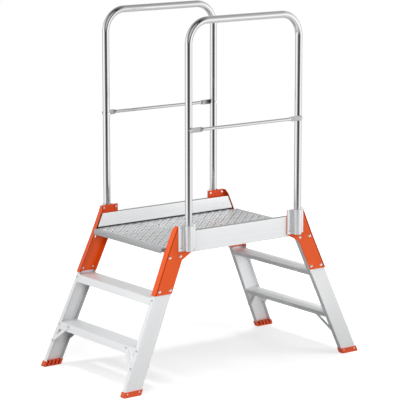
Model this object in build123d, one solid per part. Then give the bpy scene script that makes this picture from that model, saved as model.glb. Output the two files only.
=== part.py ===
from build123d import *
from math import floor, radians, sqrt, tan
import os

# A double-sided step platform: a perforated deck between two toe boards, a two-step ladder at each
# end, and a lift-out guardrail along each long side. Millimetres, +Z up, +X along the platform.
# The origin is on the ground under the middle of the deck. Every corner piece is modelled once,
# at the far right (+X, +Y), and mirrored to the other three corners.

# Deck
DECK_HEIGHT = 682.0
DECK_SHEET = 3.0
PLANK_COUNT = 3
DECK_END_SETBACK = 7.75
PLANK_GAP = 1.0
PLANK_END_GAP = 1.0
PITCH_ALONG = 25.0
PITCH_ACROSS = 24.0
PATTERN_MARGIN = 15.0
DRAIN_HOLE = 13.0
BUTTON_BASE = 12.5
BUTTON_TOP = 8.5
BUTTON_HEIGHT = 1.6
BUTTON_BORE = 4.0
JOIST_WIDTH = 40.0
JOIST_WALL = 2.0
JOIST_END_GAP = 1.0

# End nosings
NOSING_DEPTH = 31.5
NOSING_DROP = 25.0
NOSING_WALL = 3.0
NOSING_RADIUS = 8.0
NOSING_SIDE_GAP = 10.0

# Side rails, which stand up as toe boards
TOE_HEIGHT = 73.0
RAIL_WALL = 3.0
RAIL_LEDGE = 42.0
JOIST_HEIGHT = 25.0
TOE_SLOT = 5.0
RAIL_CORNER = 2.0
RAIL_SETBACK = 6.0

# Guardrails
POST_SPACING_ALONG = 677.0
POST_SPACING_ACROSS = 696.0
GUARD_HEIGHT = 1109.5
GUARD_TUBE = 35.0
GUARD_WALL = 2.0
BEND_RADIUS = 110.0
KNEE_HEIGHT = 573.0
KNEE_TUBE = 16.0
KNEE_WALL = 1.5
KNEE_FLAT_LENGTH = 62.0
KNEE_FLAT_HEIGHT = 24.0
KNEE_FLAT_THICK = 4.0
KNEE_TAPER = 28.0
KNEE_OVERHANG = 11.0
PLUG_FLANGE = 3.0
PLUG_DEPTH = 22.0
PLUG_CLEARANCE = 0.25

# Post sockets
SOCKET_WIDTH = 102.0
SOCKET_HEIGHT = 125.0
SOCKET_BELOW_DECK = 17.0
SOCKET_WALL = 4.0
SOCKET_FLANGE = 5.0
SOCKET_FLOOR = 3.0
SOCKET_FILLET = 3.0
POST_CLEARANCE = 0.5
SOCKET_BOLT_SPREAD = 74.0
SOCKET_BOLT_INSET = 12.5

# Ladders
LEG_LEAN = 23.8
LEG_SPLAY = 3.29
STILE_WEB = 89.0
STILE_FLANGE = 26.0
STILE_WALL = 3.0
STILE_CORNER = 4.0
STILE_TOP_GAP = 1.0
LOWER_STEP_HEIGHT = 223.0
UPPER_STEP_HEIGHT = 455.0
STEP_WALL = 3.0
STEP_FRONT_DROP = 35.0
STEP_BACK_DROP = 24.0
STEP_NOSE_RADIUS = 6.0
STEP_CLEARANCE = 0.4
STEP_TONGUE_LAP = 20.0
STEP_RIVET_DROP = 12.0

# Corner brackets and leg liners
BRACKET_THICK = 4.0
BRACKET_FLANGE = 31.0
BRACKET_STEP_GAP = 11.0
BRACKET_FRONT_MARGIN = 3.5
BRACKET_BACK_MARGIN = 2.0
BRACKET_BACK_HEIGHT = 620.0
BRACKET_TOP_RADIUS = 3.0
BRACKET_CUT_WIDTH = 13.0
BRACKET_CUT_HEIGHT = 22.0
BRACKET_BOLT_FRONT = 18.5
BRACKET_BOLT_BACK = 15.5
BRACKET_BOLT_TOP_INSET = 10.0
BRACKET_BOLT_BOTTOM_INSET = 17.5
LINER_THICK = 2.5
LINER_HEM = 1.5
LINER_CLEARANCE = 0.3
LINER_TOP_GAP = 2.0

# Braces
BRACE_WIDTH = 20.0
BRACE_THICK = 3.0
BRACE_STEP_REACH = 254.0
BRACE_FOOT_HEIGHT = 131.0

# Feet
FOOT_HEIGHT = 27.0
FOOT_BASE = 5.0
FOOT_WALL = 4.0
FOOT_CLEARANCE = 0.3
FOOT_CORNER = 5.0
FOOT_TOE_RADIUS = 6.0
FOOT_PANEL_INSET = 5.0
FOOT_PANEL_DEPTH = 1.0
FOOT_SLOT_COUNT = 4
FOOT_SLOT_WIDTH = 9.0
FOOT_SLOT_DEPTH = 15.0
FOOT_SCREW_INSET = 14.0
FOOT_SCREW_HEIGHT = 18.0

# Fasteners
BOLT_SHANK = 8.0
BOLT_HEAD = 16.0
BOLT_HEAD_HEIGHT = 5.0
BOLT_NUT = 12.0
BOLT_NUT_HEIGHT = 6.5
SOCKET_BOLT_SHANK = 6.0
SOCKET_BOLT_HEAD = 12.0
SOCKET_BOLT_HEAD_HEIGHT = 4.0
SOCKET_BOLT_NUT = 10.0
SOCKET_BOLT_NUT_HEIGHT = 5.0
RIVET_SHANK = 5.0
RIVET_HEAD = 10.0
RIVET_HEAD_HEIGHT = 2.5
RIVET_TAIL = 7.5
RIVET_TAIL_HEIGHT = 3.0
DECK_RIVET_HEAD_HEIGHT = 1.5
DECK_RIVET_EDGE = 9.0
DECK_RIVET_ROWS = 5
DECK_RIVETS_PER_EDGE = 4
SCREW_SHANK = 4.0
SCREW_HEAD = 8.0
SCREW_HEAD_HEIGHT = 2.0
SCREW_LENGTH = 10.0
THREAD_SHOW = 2.0
HOLE_CLEARANCE = 0.25

# Working values that follow from the sizes above
RUN = tan(radians(LEG_LEAN))
SPLAY = tan(radians(LEG_SPLAY))
SPLAY_STRETCH = sqrt(1 + SPLAY**2)
LEAN_STRETCH = sqrt(1 + RUN**2)
POST_X = POST_SPACING_ALONG / 2
POST_Y = POST_SPACING_ACROSS / 2
PLATE_OUT_Y = POST_Y - GUARD_TUBE / 2 - POST_CLEARANCE
RAIL_OUT_Y = PLATE_OUT_Y - BRACKET_THICK
RAIL_IN_Y = RAIL_OUT_Y - RAIL_WALL
TOE_IN_Y = PLATE_OUT_Y - BRACKET_FLANGE
SHEET_BOTTOM = DECK_HEIGHT - DECK_SHEET
LEDGE_TOP = SHEET_BOTTOM - JOIST_HEIGHT
RAIL_BOTTOM = LEDGE_TOP - RAIL_WALL
RAIL_TOP = DECK_HEIGHT + TOE_HEIGHT
CREASE_Z = RAIL_BOTTOM
SOCKET_BOTTOM = DECK_HEIGHT - SOCKET_BELOW_DECK
SOCKET_TOP = SOCKET_BOTTOM + SOCKET_HEIGHT
STILE_TOP = RAIL_BOTTOM - STILE_TOP_GAP
STILE_BOTTOM = FOOT_BASE
BRACKET_BOTTOM = UPPER_STEP_HEIGHT + BRACKET_STEP_GAP
BRACKET_FRONT_TOP = POST_X + SOCKET_WIDTH / 2 + BRACKET_FRONT_MARGIN
LADDER_REACH = BRACKET_FRONT_TOP - BRACKET_THICK * LEAN_STRETCH + RUN * SOCKET_TOP
PLANKS_HALF = LADDER_REACH - RUN * DECK_HEIGHT - DECK_END_SETBACK
PLANK_WIDTH = (2 * PLANKS_HALF - (PLANK_COUNT - 1) * PLANK_GAP) / PLANK_COUNT
EVERYWHERE = 4 * LADDER_REACH
PLANK_HALF_LENGTH = RAIL_IN_Y - SOCKET_BOLT_NUT_HEIGHT - THREAD_SHOW - PLANK_END_GAP
BAR_Z = DECK_HEIGHT + GUARD_HEIGHT - GUARD_TUBE / 2
KNEE_Z = DECK_HEIGHT + KNEE_HEIGHT
KNEE_Y = POST_Y + GUARD_TUBE / 2 + KNEE_FLAT_THICK / 2
POST_BOTTOM = SOCKET_BOTTOM + SOCKET_FLOOR + PLUG_FLANGE
WEB_RUN = STILE_WEB * LEAN_STRETCH
FLANGE_RUN = STILE_WALL * LEAN_STRETCH
WEB_WALL = STILE_WALL * SPLAY_STRETCH

# Directions at the far right leg: up along it, out from its web, and forwards from its front face
LEG_UP = Vector(-RUN, -SPLAY, 1).normalized()
LEG_OUT = Vector(0, 1, SPLAY).normalized()
LEG_FRONT = Vector(1, 0, RUN).normalized()
OUT = Vector(0, 1, 0)

CORNERS = {
    "near_left": (-1, -1),
    "near_right": (1, -1),
    "far_left": (-1, 1),
    "far_right": (1, 1),
}


def front_x(height):
    """X of the stile's front edge at a height."""
    return LADDER_REACH - RUN * height


def back_x(height):
    """X of the stile's back edge at a height."""
    return front_x(height) - WEB_RUN


def web_y(height):
    """Y of the stile's outer web face at a height."""
    return RAIL_OUT_Y + SPLAY * (CREASE_Z - height)


def leg_point(height):
    """Point on the stile's front outer edge at a height."""
    return Vector(front_x(height), web_y(height), height)


def in_corner(shape, sides):
    """A far right piece mirrored to the corner with these signs of X and Y."""
    if sides[0] < 0:
        shape = mirror(shape, about=Plane.YZ)
    if sides[1] < 0:
        shape = mirror(shape, about=Plane.XZ)
    return shape


def box_between(low, high):
    """Box from its lowest to its highest corner."""
    size = [b - a for a, b in zip(low, high)]
    middle = [(a + b) / 2 for a, b in zip(low, high)]
    return Pos(*middle) * Box(*size)


def rectangle_between(low, high):
    """Flat rectangle from its lowest to its highest corner."""
    middle = [(a + b) / 2 for a, b in zip(low, high)]
    return Pos(*middle) * Rectangle(high[0] - low[0], high[1] - low[1])


def leg_bar(section, low, high):
    """Level section carried up along the leg between two heights.

    The section's origin is the stile's front outer edge, +X to the front and +Y outwards.
    """
    length = (high - low) / LEG_UP.Z
    return extrude(Pos(*leg_point(low)) * section, amount=length, dir=LEG_UP)


def side_prism(points, low, high):
    """Outline of X and Z points carried across the platform between two values of Y."""
    outline = Plane.XZ * Polygon(*points, align=None)
    return Pos(0, low, 0) * extrude(outline, amount=high - low, dir=(0, 1, 0))


def round_head(width, height):
    """Low dome that stands on the XY plane."""
    radius = (width**2 / 4 + height**2) / (2 * height)
    ball = Pos(0, 0, height - radius) * Sphere(radius)
    return ball & box_between((-width, -width, 0), (width, width, height + 1))


def standing_cylinder(width, low, high):
    """Cylinder on the Z axis between two heights."""
    return Pos(0, 0, (low + high) / 2) * Cylinder(width / 2, high - low)


def bolt(grip, shank, head, head_height, nut, nut_height):
    """Dome bolt with its nut: the head sits on the XY plane and the shank runs down."""
    stem = standing_cylinder(shank, -grip - nut_height - THREAD_SHOW, head_height / 2)
    outline = RegularPolygon(nut / 2, 6, major_radius=False)
    nut_block = Pos(0, 0, -grip - nut_height) * extrude(outline, amount=nut_height)
    return stem + round_head(head, head_height) + nut_block


def bracket_bolt(grip):
    """Large dome bolt of the corner brackets."""
    return bolt(grip, BOLT_SHANK, BOLT_HEAD, BOLT_HEAD_HEIGHT, BOLT_NUT, BOLT_NUT_HEIGHT)


def small_bolt(grip):
    """Small dome bolt of the sockets and knee rails."""
    return bolt(
        grip,
        SOCKET_BOLT_SHANK,
        SOCKET_BOLT_HEAD,
        SOCKET_BOLT_HEAD_HEIGHT,
        SOCKET_BOLT_NUT,
        SOCKET_BOLT_NUT_HEIGHT,
    )


def rivet(grip, head_height=RIVET_HEAD_HEIGHT):
    """Dome rivet with its set tail: the head sits on the XY plane and the shank runs down."""
    stem = standing_cylinder(RIVET_SHANK, -grip - RIVET_TAIL_HEIGHT, head_height / 2)
    tail = standing_cylinder(RIVET_TAIL, -grip - RIVET_TAIL_HEIGHT, -grip)
    return stem + round_head(RIVET_HEAD, head_height) + tail


def hole(shank, depth):
    """Cutter for a fastener's hole, a little longer than the plates it goes through."""
    return standing_cylinder(shank + 2 * HOLE_CLEARANCE, -depth, shank)


def seat(point, direction):
    """Place on a surface where a fastener's head sits, facing a direction."""
    return Location(Plane(origin=point, z_dir=direction))


def drilled(shape, seats, shank, depth):
    """Shape with a hole for a fastener at each seat."""
    for place in seats:
        shape = shape - place * hole(shank, depth)
    return shape


# Places of the fasteners at the far right corner
def bracket_bolt_seats():
    """Four seats on the outer face of the bracket, square to the splayed web."""
    seats = []
    for height in (STILE_TOP - BRACKET_BOLT_TOP_INSET, BRACKET_BOTTOM + BRACKET_BOLT_BOTTOM_INSET):
        for x in (front_x(height) - BRACKET_BOLT_FRONT, back_x(height) + BRACKET_BOLT_BACK):
            on_web = Vector(x, web_y(height), height)
            seats.append(seat(on_web + LEG_OUT * BRACKET_THICK, LEG_OUT))
    return seats


def socket_bolt_seats(height):
    """Two seats on the socket's flanges at a height."""
    y = PLATE_OUT_Y + SOCKET_FLANGE
    spread = SOCKET_BOLT_SPREAD / 2
    return [seat(Vector(POST_X + side * spread, y, height), OUT) for side in (-1, 1)]


def knee_bolt_seat():
    """Seat on the flat end of the knee rail, in line with the post."""
    return seat(Vector(POST_X, KNEE_Y + KNEE_FLAT_THICK / 2, KNEE_Z), OUT)


def on_leg_face(y, height, across):
    """Point in a plane parallel to the leg's front face, `across` in front of it."""
    return Vector(front_x(height) + across * LEAN_STRETCH, y, height)


def flange_middle(height):
    """Y of the middle of the stile's flanges at a height."""
    return web_y(height) - STILE_FLANGE / 2


def leg_faces():
    """The leg's front and back faces: how far in front of the front face, and which way each looks."""
    return ((0, LEG_FRONT), (-STILE_WEB, -LEG_FRONT))


def step_rivet_seats(step_height):
    """Two seats on the stile's flanges where a step's tongue is riveted."""
    height = step_height - STEP_RIVET_DROP
    middle = flange_middle(height)
    return [seat(on_leg_face(middle, height, across), way) for across, way in leg_faces()]


def brace_ends(across):
    """Lower end on the stile's flange and upper end on the lower step's skirt."""
    low = on_leg_face(flange_middle(BRACE_FOOT_HEIGHT), BRACE_FOOT_HEIGHT, across)
    high = on_leg_face(BRACE_STEP_REACH, LOWER_STEP_HEIGHT - STEP_RIVET_DROP, across)
    return low, high


def brace_rivet_seats(end):
    """Two seats on the front and back brace, at the lower (0) or the upper (1) end."""
    return [seat(brace_ends(across)[end] + way * BRACE_THICK, way) for across, way in leg_faces()]


def foot_screw_seats():
    """Two seats on the outer wall of the foot."""
    y = web_y(FOOT_SCREW_HEIGHT) + FOOT_WALL - FOOT_PANEL_DEPTH
    front = front_x(FOOT_SCREW_HEIGHT)
    xs = (front - FOOT_SCREW_INSET, front - WEB_RUN + FOOT_SCREW_INSET)
    return [seat(Vector(x, y, FOOT_SCREW_HEIGHT), LEG_OUT) for x in xs]


def deck_rivet_rows():
    """Y of the rivets along each edge of a plank, half way between rows of its pattern."""
    middle = (DECK_RIVETS_PER_EDGE - 1) / 2
    pitch = DECK_RIVET_ROWS * PITCH_ACROSS
    return [(index - middle) * pitch for index in range(DECK_RIVETS_PER_EDGE)]


def plank_middles():
    """X of the middle of each plank."""
    step = PLANK_WIDTH + PLANK_GAP
    return [(index - (PLANK_COUNT - 1) / 2) * step for index in range(PLANK_COUNT)]


def joist_middles():
    """X of the middle of each joist: one under each seam, and one flush with each end."""
    ends = PLANKS_HALF - JOIST_WIDTH / 2
    middles = plank_middles()
    seams = [(a + b) / 2 for a, b in zip(middles, middles[1:])]
    return [-ends] + seams + [ends]


def deck_rivet_seats():
    """Seats on the planks, along the edges that lie on the joists."""
    reach = PLANK_WIDTH / 2 - DECK_RIVET_EDGE
    xs = [middle + side * reach for middle in plank_middles() for side in (-1, 1)]
    up = Vector(0, 0, 1)
    return [seat(Vector(x, y, DECK_HEIGHT), up) for x in xs for y in deck_rivet_rows()]


def ledge_rivet_seats():
    """Seats under the rails' ledges, one at each end of each joist."""
    y = RAIL_IN_Y - RAIL_LEDGE / 2
    down = Vector(0, 0, -1)
    return [seat(Vector(x, side * y, RAIL_BOTTOM), down) for x in joist_middles() for side in (-1, 1)]


def nosing_rivet_seats():
    """Seats inside the right nosing, on the wall that lies against the end joist."""
    x = PLANKS_HALF + NOSING_WALL
    z = LEDGE_TOP + JOIST_HEIGHT / 2
    return [seat(Vector(x, y, z), Vector(1, 0, 0)) for y in deck_rivet_rows()]


# Deck
def lattice(odd):
    """Sites of one colour of the chequered pattern on a plank centred on the origin."""
    columns = floor((PLANK_WIDTH - 2 * PATTERN_MARGIN) / PITCH_ALONG)
    rows = 2 * floor(TOE_IN_Y / PITCH_ACROSS)
    sites = []
    for column in range(columns + 1):
        for row in range(rows + 1):
            if (column + row) % 2 == odd:
                x = (column - columns / 2) * PITCH_ALONG
                y = (row - rows / 2) * PITCH_ACROSS
                sites.append((x, y))
    return sites


def plank():
    """Sheet with drain holes and raised, pierced buttons in turn, like the squares of a chessboard."""
    outline = Rectangle(PLANK_WIDTH, 2 * PLANK_HALF_LENGTH)
    holes = Sketch() + [Pos(*site) * Circle(DRAIN_HOLE / 2) for site in lattice(0)]
    bores = Sketch() + [Pos(*site) * Circle(BUTTON_BORE / 2) for site in lattice(1)]
    sheet = extrude(outline - holes - bores, amount=DECK_SHEET)
    wide = BUTTON_BASE / 2
    narrow = BUTTON_TOP / 2
    bore = BUTTON_BORE / 2
    profile = Polygon((bore, 0), (wide, 0), (narrow, BUTTON_HEIGHT), (bore, BUTTON_HEIGHT), align=None)
    button = revolve(Plane.XZ * profile, axis=Axis.Z)
    buttons = [Pos(x, y, DECK_SHEET) * button for x, y in lattice(1)]
    return sheet + buttons


def deck_nodes():
    """Planks on their joists."""
    sheet = Pos(0, 0, SHEET_BOTTOM) * plank()
    nodes = {}
    seats = deck_rivet_seats()
    for name, x in zip(("left_plank", "middle_plank", "right_plank"), plank_middles()):
        own = [place for place in seats if abs(place.position.X - x) < PLANK_WIDTH / 2]
        nodes[name] = drilled(Pos(x, 0, 0) * sheet, own, RIVET_SHANK, DECK_SHEET * 2)
    half = RAIL_IN_Y - JOIST_END_GAP
    outer = Rectangle(JOIST_WIDTH, JOIST_HEIGHT)
    inner = Rectangle(JOIST_WIDTH - 2 * JOIST_WALL, JOIST_HEIGHT - 2 * JOIST_WALL)
    tube = extrude(Plane.XZ * (outer - inner), amount=half, both=True)
    names = ("left_end_joist", "left_joist", "right_joist", "right_end_joist")
    for name, x in zip(names, joist_middles()):
        joist = Pos(x, 0, LEDGE_TOP + JOIST_HEIGHT / 2) * tube
        above = [place for place in seats if abs(place.position.X - x) < JOIST_WIDTH / 2]
        below = [place for place in ledge_rivet_seats() if abs(place.position.X - x) < JOIST_WIDTH / 2]
        joist = drilled(joist, above, RIVET_SHANK, DECK_SHEET + 2 * JOIST_WALL)
        joist = drilled(joist, below, RIVET_SHANK, RAIL_WALL + 2 * JOIST_WALL)
        nodes[name] = joist
    right_wall = nosing_rivet_seats()
    nodes["right_end_joist"] = drilled(
        nodes["right_end_joist"], right_wall, RIVET_SHANK, NOSING_WALL + 2 * JOIST_WALL
    )
    nodes["left_end_joist"] = mirror(nodes["right_end_joist"], about=Plane.YZ)
    return nodes


def right_nosing():
    """Channel that closes the deck's end: a wall against the joist, a plain top and a front skirt."""
    start = PLANKS_HALF
    bottom = DECK_HEIGHT - NOSING_DROP
    outer = rectangle_between((start, bottom), (start + NOSING_DEPTH, DECK_HEIGHT))
    rounded = outer.vertices().sort_by(Axis.X)[-2:].sort_by(Axis.Y)[-1]
    outer = fillet(rounded, NOSING_RADIUS)
    low = (start + NOSING_WALL, bottom - NOSING_WALL)
    high = (start + NOSING_DEPTH - NOSING_WALL, DECK_HEIGHT - NOSING_WALL)
    inner = rectangle_between(low, high)
    inner = fillet(inner.vertices().sort_by(Axis.Y)[-2:], NOSING_WALL)
    half = TOE_IN_Y - NOSING_SIDE_GAP
    channel = extrude(Plane.XZ * (outer - inner), amount=half, both=True)
    return drilled(channel, nosing_rivet_seats(), RIVET_SHANK, 2 * NOSING_WALL)


def rail_end_x(height):
    """X of the rail's slanted end at a height."""
    return front_x(height) - RAIL_SETBACK


def far_rail():
    """Side rail: a web with a ledge for the joists, hooked over above the deck as a toe board."""
    inside = RAIL_IN_Y
    ledge = rectangle_between((inside - RAIL_LEDGE, RAIL_BOTTOM), (inside, LEDGE_TOP))
    web = rectangle_between((inside, RAIL_BOTTOM), (RAIL_OUT_Y, RAIL_TOP))
    hook = rectangle_between((TOE_IN_Y, DECK_HEIGHT + TOE_SLOT), (RAIL_OUT_Y, RAIL_TOP))
    hook = hook - rectangle_between((TOE_IN_Y + RAIL_WALL, DECK_HEIGHT), (inside, RAIL_TOP - RAIL_WALL))
    section = web + hook + ledge
    section = fillet(section.vertices().group_by(Axis.Y)[-1], RAIL_CORNER)
    length = rail_end_x(RAIL_BOTTOM)
    bar = extrude(Plane.YZ * section, amount=length, both=True)
    low = rail_end_x(RAIL_BOTTOM)
    high = rail_end_x(RAIL_TOP)
    outline = [(-low, RAIL_BOTTOM), (low, RAIL_BOTTOM), (high, RAIL_TOP), (-high, RAIL_TOP)]
    rail = bar & side_prism(outline, inside - 2 * RAIL_LEDGE, RAIL_OUT_Y + RAIL_WALL)
    through = SOCKET_FLANGE + BRACKET_THICK + 2 * RAIL_WALL
    lower_seats = socket_bolt_seats(SOCKET_BOTTOM + SOCKET_BOLT_INSET)
    rail = drilled(rail, lower_seats, SOCKET_BOLT_SHANK, through)
    mirrored = drilled(mirror(rail, about=Plane.YZ), lower_seats, SOCKET_BOLT_SHANK, through)
    far_seats = [place for place in ledge_rivet_seats() if place.position.Y > 0]
    return drilled(mirrored, far_seats, RIVET_SHANK, 2 * RAIL_WALL)


# Ladders
def stile():
    """C-section leg, cut level at both ends."""
    outer = rectangle_between((-WEB_RUN, -STILE_FLANGE), (0, 0))
    outer = fillet(outer.vertices().sort_by(Axis.Y)[-2:], STILE_CORNER)
    low = (-WEB_RUN + FLANGE_RUN, -2 * STILE_FLANGE)
    inner = rectangle_between(low, (-FLANGE_RUN, -WEB_WALL))
    leg = leg_bar(outer - inner, STILE_BOTTOM, STILE_TOP)
    through = BRACKET_THICK + 2 * STILE_WALL
    leg = drilled(leg, bracket_bolt_seats(), BOLT_SHANK, through)
    for height in (LOWER_STEP_HEIGHT, UPPER_STEP_HEIGHT):
        leg = drilled(leg, step_rivet_seats(height), RIVET_SHANK, 2 * STILE_WALL)
    leg = drilled(leg, brace_rivet_seats(0), RIVET_SHANK, BRACE_THICK + 2 * STILE_WALL)
    return drilled(leg, foot_screw_seats(), SCREW_SHANK, SCREW_LENGTH)


def step_section(height, inset, front_drop, back_drop):
    """Outline of a step's top and skirts, set in from the leg's front and back faces."""
    shift = inset * LEAN_STRETCH
    wall = STEP_WALL * LEAN_STRETCH
    under = height - STEP_WALL
    front_low = height - front_drop
    back_low = height - back_drop
    return [
        (front_x(height) - shift, height),
        (front_x(front_low) - shift, front_low),
        (front_x(front_low) - shift - wall, front_low),
        (front_x(under) - shift - wall, under),
        (back_x(under) + shift + wall, under),
        (back_x(back_low) + shift + wall, back_low),
        (back_x(back_low) + shift, back_low),
        (back_x(height) + shift, height),
    ]


def right_step(height, braced):
    """Step: a channel between the stiles' flanges, with a tongue at each end inside the stile."""
    half = web_y(height) - STILE_FLANGE - STEP_CLEARANCE
    outline = Polygon(*step_section(height, 0, STEP_FRONT_DROP, STEP_BACK_DROP), align=None)
    upper = outline.vertices().sort_by(Axis.Y)[-2:]
    outline = fillet(upper.sort_by(Axis.X)[-1], STEP_NOSE_RADIUS)
    body = extrude(Plane.XZ * outline, amount=half, both=True)
    reach = web_y(height) - WEB_WALL - STEP_CLEARANCE
    inset = STILE_WALL + STEP_CLEARANCE
    points = step_section(height, inset, STEP_BACK_DROP, STEP_BACK_DROP)
    tongue = side_prism(points, half - STEP_TONGUE_LAP, reach)
    through = STILE_WALL + STEP_CLEARANCE + 2 * STEP_WALL
    tongue = drilled(tongue, step_rivet_seats(height), RIVET_SHANK, through)
    step = body + tongue + mirror(tongue, about=Plane.XZ)
    if braced:
        step = drilled(step, brace_rivet_seats(1), RIVET_SHANK, BRACE_THICK + 2 * STEP_WALL)
        step = mirror(step, about=Plane.XZ)
        step = drilled(step, brace_rivet_seats(1), RIVET_SHANK, BRACE_THICK + 2 * STEP_WALL)
    return step


def brace(across, way):
    """Flat strip with round ends from the stile's flange to the lower step's skirt."""
    low, high = brace_ends(across)
    span = high - low
    plane = Plane(origin=(low + high) / 2, x_dir=span, z_dir=way)
    strip = extrude(plane * SlotCenterToCenter(span.length, BRACE_WIDTH), amount=BRACE_THICK, dir=way)
    seats = [seat(end + way * BRACE_THICK, way) for end in (low, high)]
    return drilled(strip, seats, RIVET_SHANK, 2 * BRACE_THICK)


def foot():
    """Boot round the end of the stile, with a slotted core inside the C-section."""
    wall = FOOT_WALL * LEAN_STRETCH
    outer = rectangle_between((-WEB_RUN - wall, -STILE_FLANGE), (wall, FOOT_WALL))
    outer = fillet(outer.vertices().sort_by(Axis.Y)[-2:], FOOT_CORNER)
    boot = leg_bar(outer, 0, FOOT_HEIGHT)
    profile = Polygon(
        (back_x(0) - wall, 0),
        (front_x(0) + wall, 0),
        (front_x(FOOT_HEIGHT) + wall, FOOT_HEIGHT),
        (back_x(FOOT_HEIGHT) - wall, FOOT_HEIGHT),
        align=None,
    )
    profile = fillet(profile.vertices().sort_by(Axis.Y)[:2], FOOT_TOE_RADIUS)
    boot = boot & extrude(Plane.XZ * profile, amount=EVERYWHERE, dir=OUT)

    gap = FOOT_CLEARANCE
    pocket = rectangle_between((-WEB_RUN - gap, -2 * STILE_FLANGE), (gap, gap))
    core_back = -WEB_RUN + FLANGE_RUN + gap
    core_front = -FLANGE_RUN - gap
    core = rectangle_between((core_back, -3 * STILE_FLANGE), (core_front, -WEB_WALL - gap))
    boot = boot - leg_bar(pocket - core, STILE_BOTTOM, 2 * FOOT_HEIGHT)
    pitch = (core_front - core_back) / FOOT_SLOT_COUNT
    half = FOOT_SLOT_WIDTH / 2
    for index in range(FOOT_SLOT_COUNT):
        middle = core_back + (index + 0.5) * pitch
        corner = (middle + half, FOOT_SLOT_DEPTH - STILE_FLANGE)
        slot = rectangle_between((middle - half, -2 * STILE_FLANGE), corner)
        boot = boot - leg_bar(slot, STILE_BOTTOM, 2 * FOOT_HEIGHT)

    inset = FOOT_PANEL_INSET
    face = FOOT_WALL - FOOT_PANEL_DEPTH
    panel = rectangle_between((-WEB_RUN - wall + inset, face), (wall - inset, 2 * FOOT_WALL))
    boot = boot - leg_bar(panel, inset, FOOT_HEIGHT - inset)
    return drilled(boot, foot_screw_seats(), SCREW_SHANK, SCREW_LENGTH + 1)


# Corner brackets, liners and sockets
def bracket_front_x(height):
    """X of the middle of the bracket's front flange at a height."""
    return front_x(height) + BRACKET_THICK / 2 * LEAN_STRETCH


def bracket():
    """Folded plate: an upright upper web, a splayed lower web, and a flange in front of the leg."""
    back = POST_X - SOCKET_WIDTH / 2 - BRACKET_BACK_MARGIN
    tail = (back_x(BRACKET_BACK_HEIGHT), BRACKET_BACK_HEIGHT)
    share = (SOCKET_BOTTOM - CREASE_Z) / (SOCKET_BOTTOM - BRACKET_BACK_HEIGHT)
    crease_back = back + share * (tail[0] - back)
    crease_front = bracket_front_x(CREASE_Z)
    origin = (0, RAIL_OUT_Y, CREASE_Z)

    upright = Plane(origin=origin, x_dir=(1, 0, 0), z_dir=OUT)
    upper_points = [
        (crease_back, 0),
        (crease_front, 0),
        (bracket_front_x(SOCKET_TOP), CREASE_Z - SOCKET_TOP),
        (back, CREASE_Z - SOCKET_TOP),
        (back, CREASE_Z - SOCKET_BOTTOM),
    ]
    upper = extrude(upright * Polygon(*upper_points, align=None), amount=BRACKET_THICK, dir=OUT)

    splayed = Plane(origin=origin, x_dir=(1, 0, 0), z_dir=LEG_OUT)
    foot_drop = (CREASE_Z - BRACKET_BOTTOM) * SPLAY_STRETCH
    lower_points = [
        (crease_back, 0),
        (crease_front, 0),
        (bracket_front_x(BRACKET_BOTTOM), foot_drop),
        (back_x(BRACKET_BOTTOM), foot_drop),
        (tail[0], (CREASE_Z - tail[1]) * SPLAY_STRETCH),
    ]
    lower = extrude(splayed * Polygon(*lower_points, align=None), amount=BRACKET_THICK, dir=LEG_OUT)

    run = BRACKET_THICK * LEAN_STRETCH
    face = BRACKET_THICK * SPLAY_STRETCH
    strip = rectangle_between((0, face - BRACKET_FLANGE), (run, face))
    lower_flange = leg_bar(strip, BRACKET_BOTTOM, CREASE_Z)
    flange_points = [
        (front_x(CREASE_Z), CREASE_Z),
        (front_x(CREASE_Z) + run, CREASE_Z),
        (front_x(SOCKET_TOP) + run, SOCKET_TOP),
        (front_x(SOCKET_TOP), SOCKET_TOP),
    ]
    upper_flange = side_prism(flange_points, TOE_IN_Y, PLATE_OUT_Y)
    cut_points = [
        (TOE_IN_Y, SOCKET_TOP),
        (TOE_IN_Y + BRACKET_CUT_WIDTH, SOCKET_TOP),
        (TOE_IN_Y, SOCKET_TOP - BRACKET_CUT_HEIGHT),
    ]
    cut = extrude(Plane.YZ * Polygon(*cut_points, align=None), amount=EVERYWHERE)
    plate = upper + lower + lower_flange + (upper_flange - cut)
    envelope = Polygon(
        (front_x(0) + run, 0),
        (front_x(SOCKET_TOP) + run, SOCKET_TOP),
        (0, SOCKET_TOP),
        (0, 0),
        align=None,
    )
    corner = envelope.vertices().sort_by(Axis.Y)[-2:].sort_by(Axis.X)[-1]
    envelope = fillet(corner, BRACKET_TOP_RADIUS)
    plate = plate & extrude(Plane.XZ * envelope, amount=EVERYWHERE, dir=OUT)

    plate = drilled(plate, bracket_bolt_seats(), BOLT_SHANK, 2 * BRACKET_THICK)
    for height in socket_bolt_heights():
        through = SOCKET_FLANGE + 2 * BRACKET_THICK
        plate = drilled(plate, socket_bolt_seats(height), SOCKET_BOLT_SHANK, through)
    return plate


def socket_bolt_heights():
    """Heights of the socket's two rows of bolts."""
    return (SOCKET_BOTTOM + SOCKET_BOLT_INSET, SOCKET_TOP - SOCKET_BOLT_INSET)


def liner():
    """U-section that backs the stile's web behind the bracket, hemmed over the stile's edges."""
    gap = LINER_CLEARANCE
    back = -WEB_RUN + FLANGE_RUN + gap
    front = -FLANGE_RUN - gap
    edge = -STILE_FLANGE - gap
    outer = rectangle_between((back, edge), (front, -WEB_WALL))
    hem = rectangle_between((-WEB_RUN + gap, edge - LINER_HEM), (-gap, edge))
    side = LINER_THICK * LEAN_STRETCH
    web = LINER_THICK * SPLAY_STRETCH
    low = (back + side, edge - 2 * LINER_HEM)
    inner = rectangle_between(low, (front - side, -WEB_WALL - web))
    bar = leg_bar(outer + hem - inner, BRACKET_BOTTOM, STILE_TOP - LINER_TOP_GAP)
    through = BRACKET_THICK + STILE_WALL + 2 * LINER_THICK
    return drilled(bar, bracket_bolt_seats(), BOLT_SHANK, through)


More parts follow.
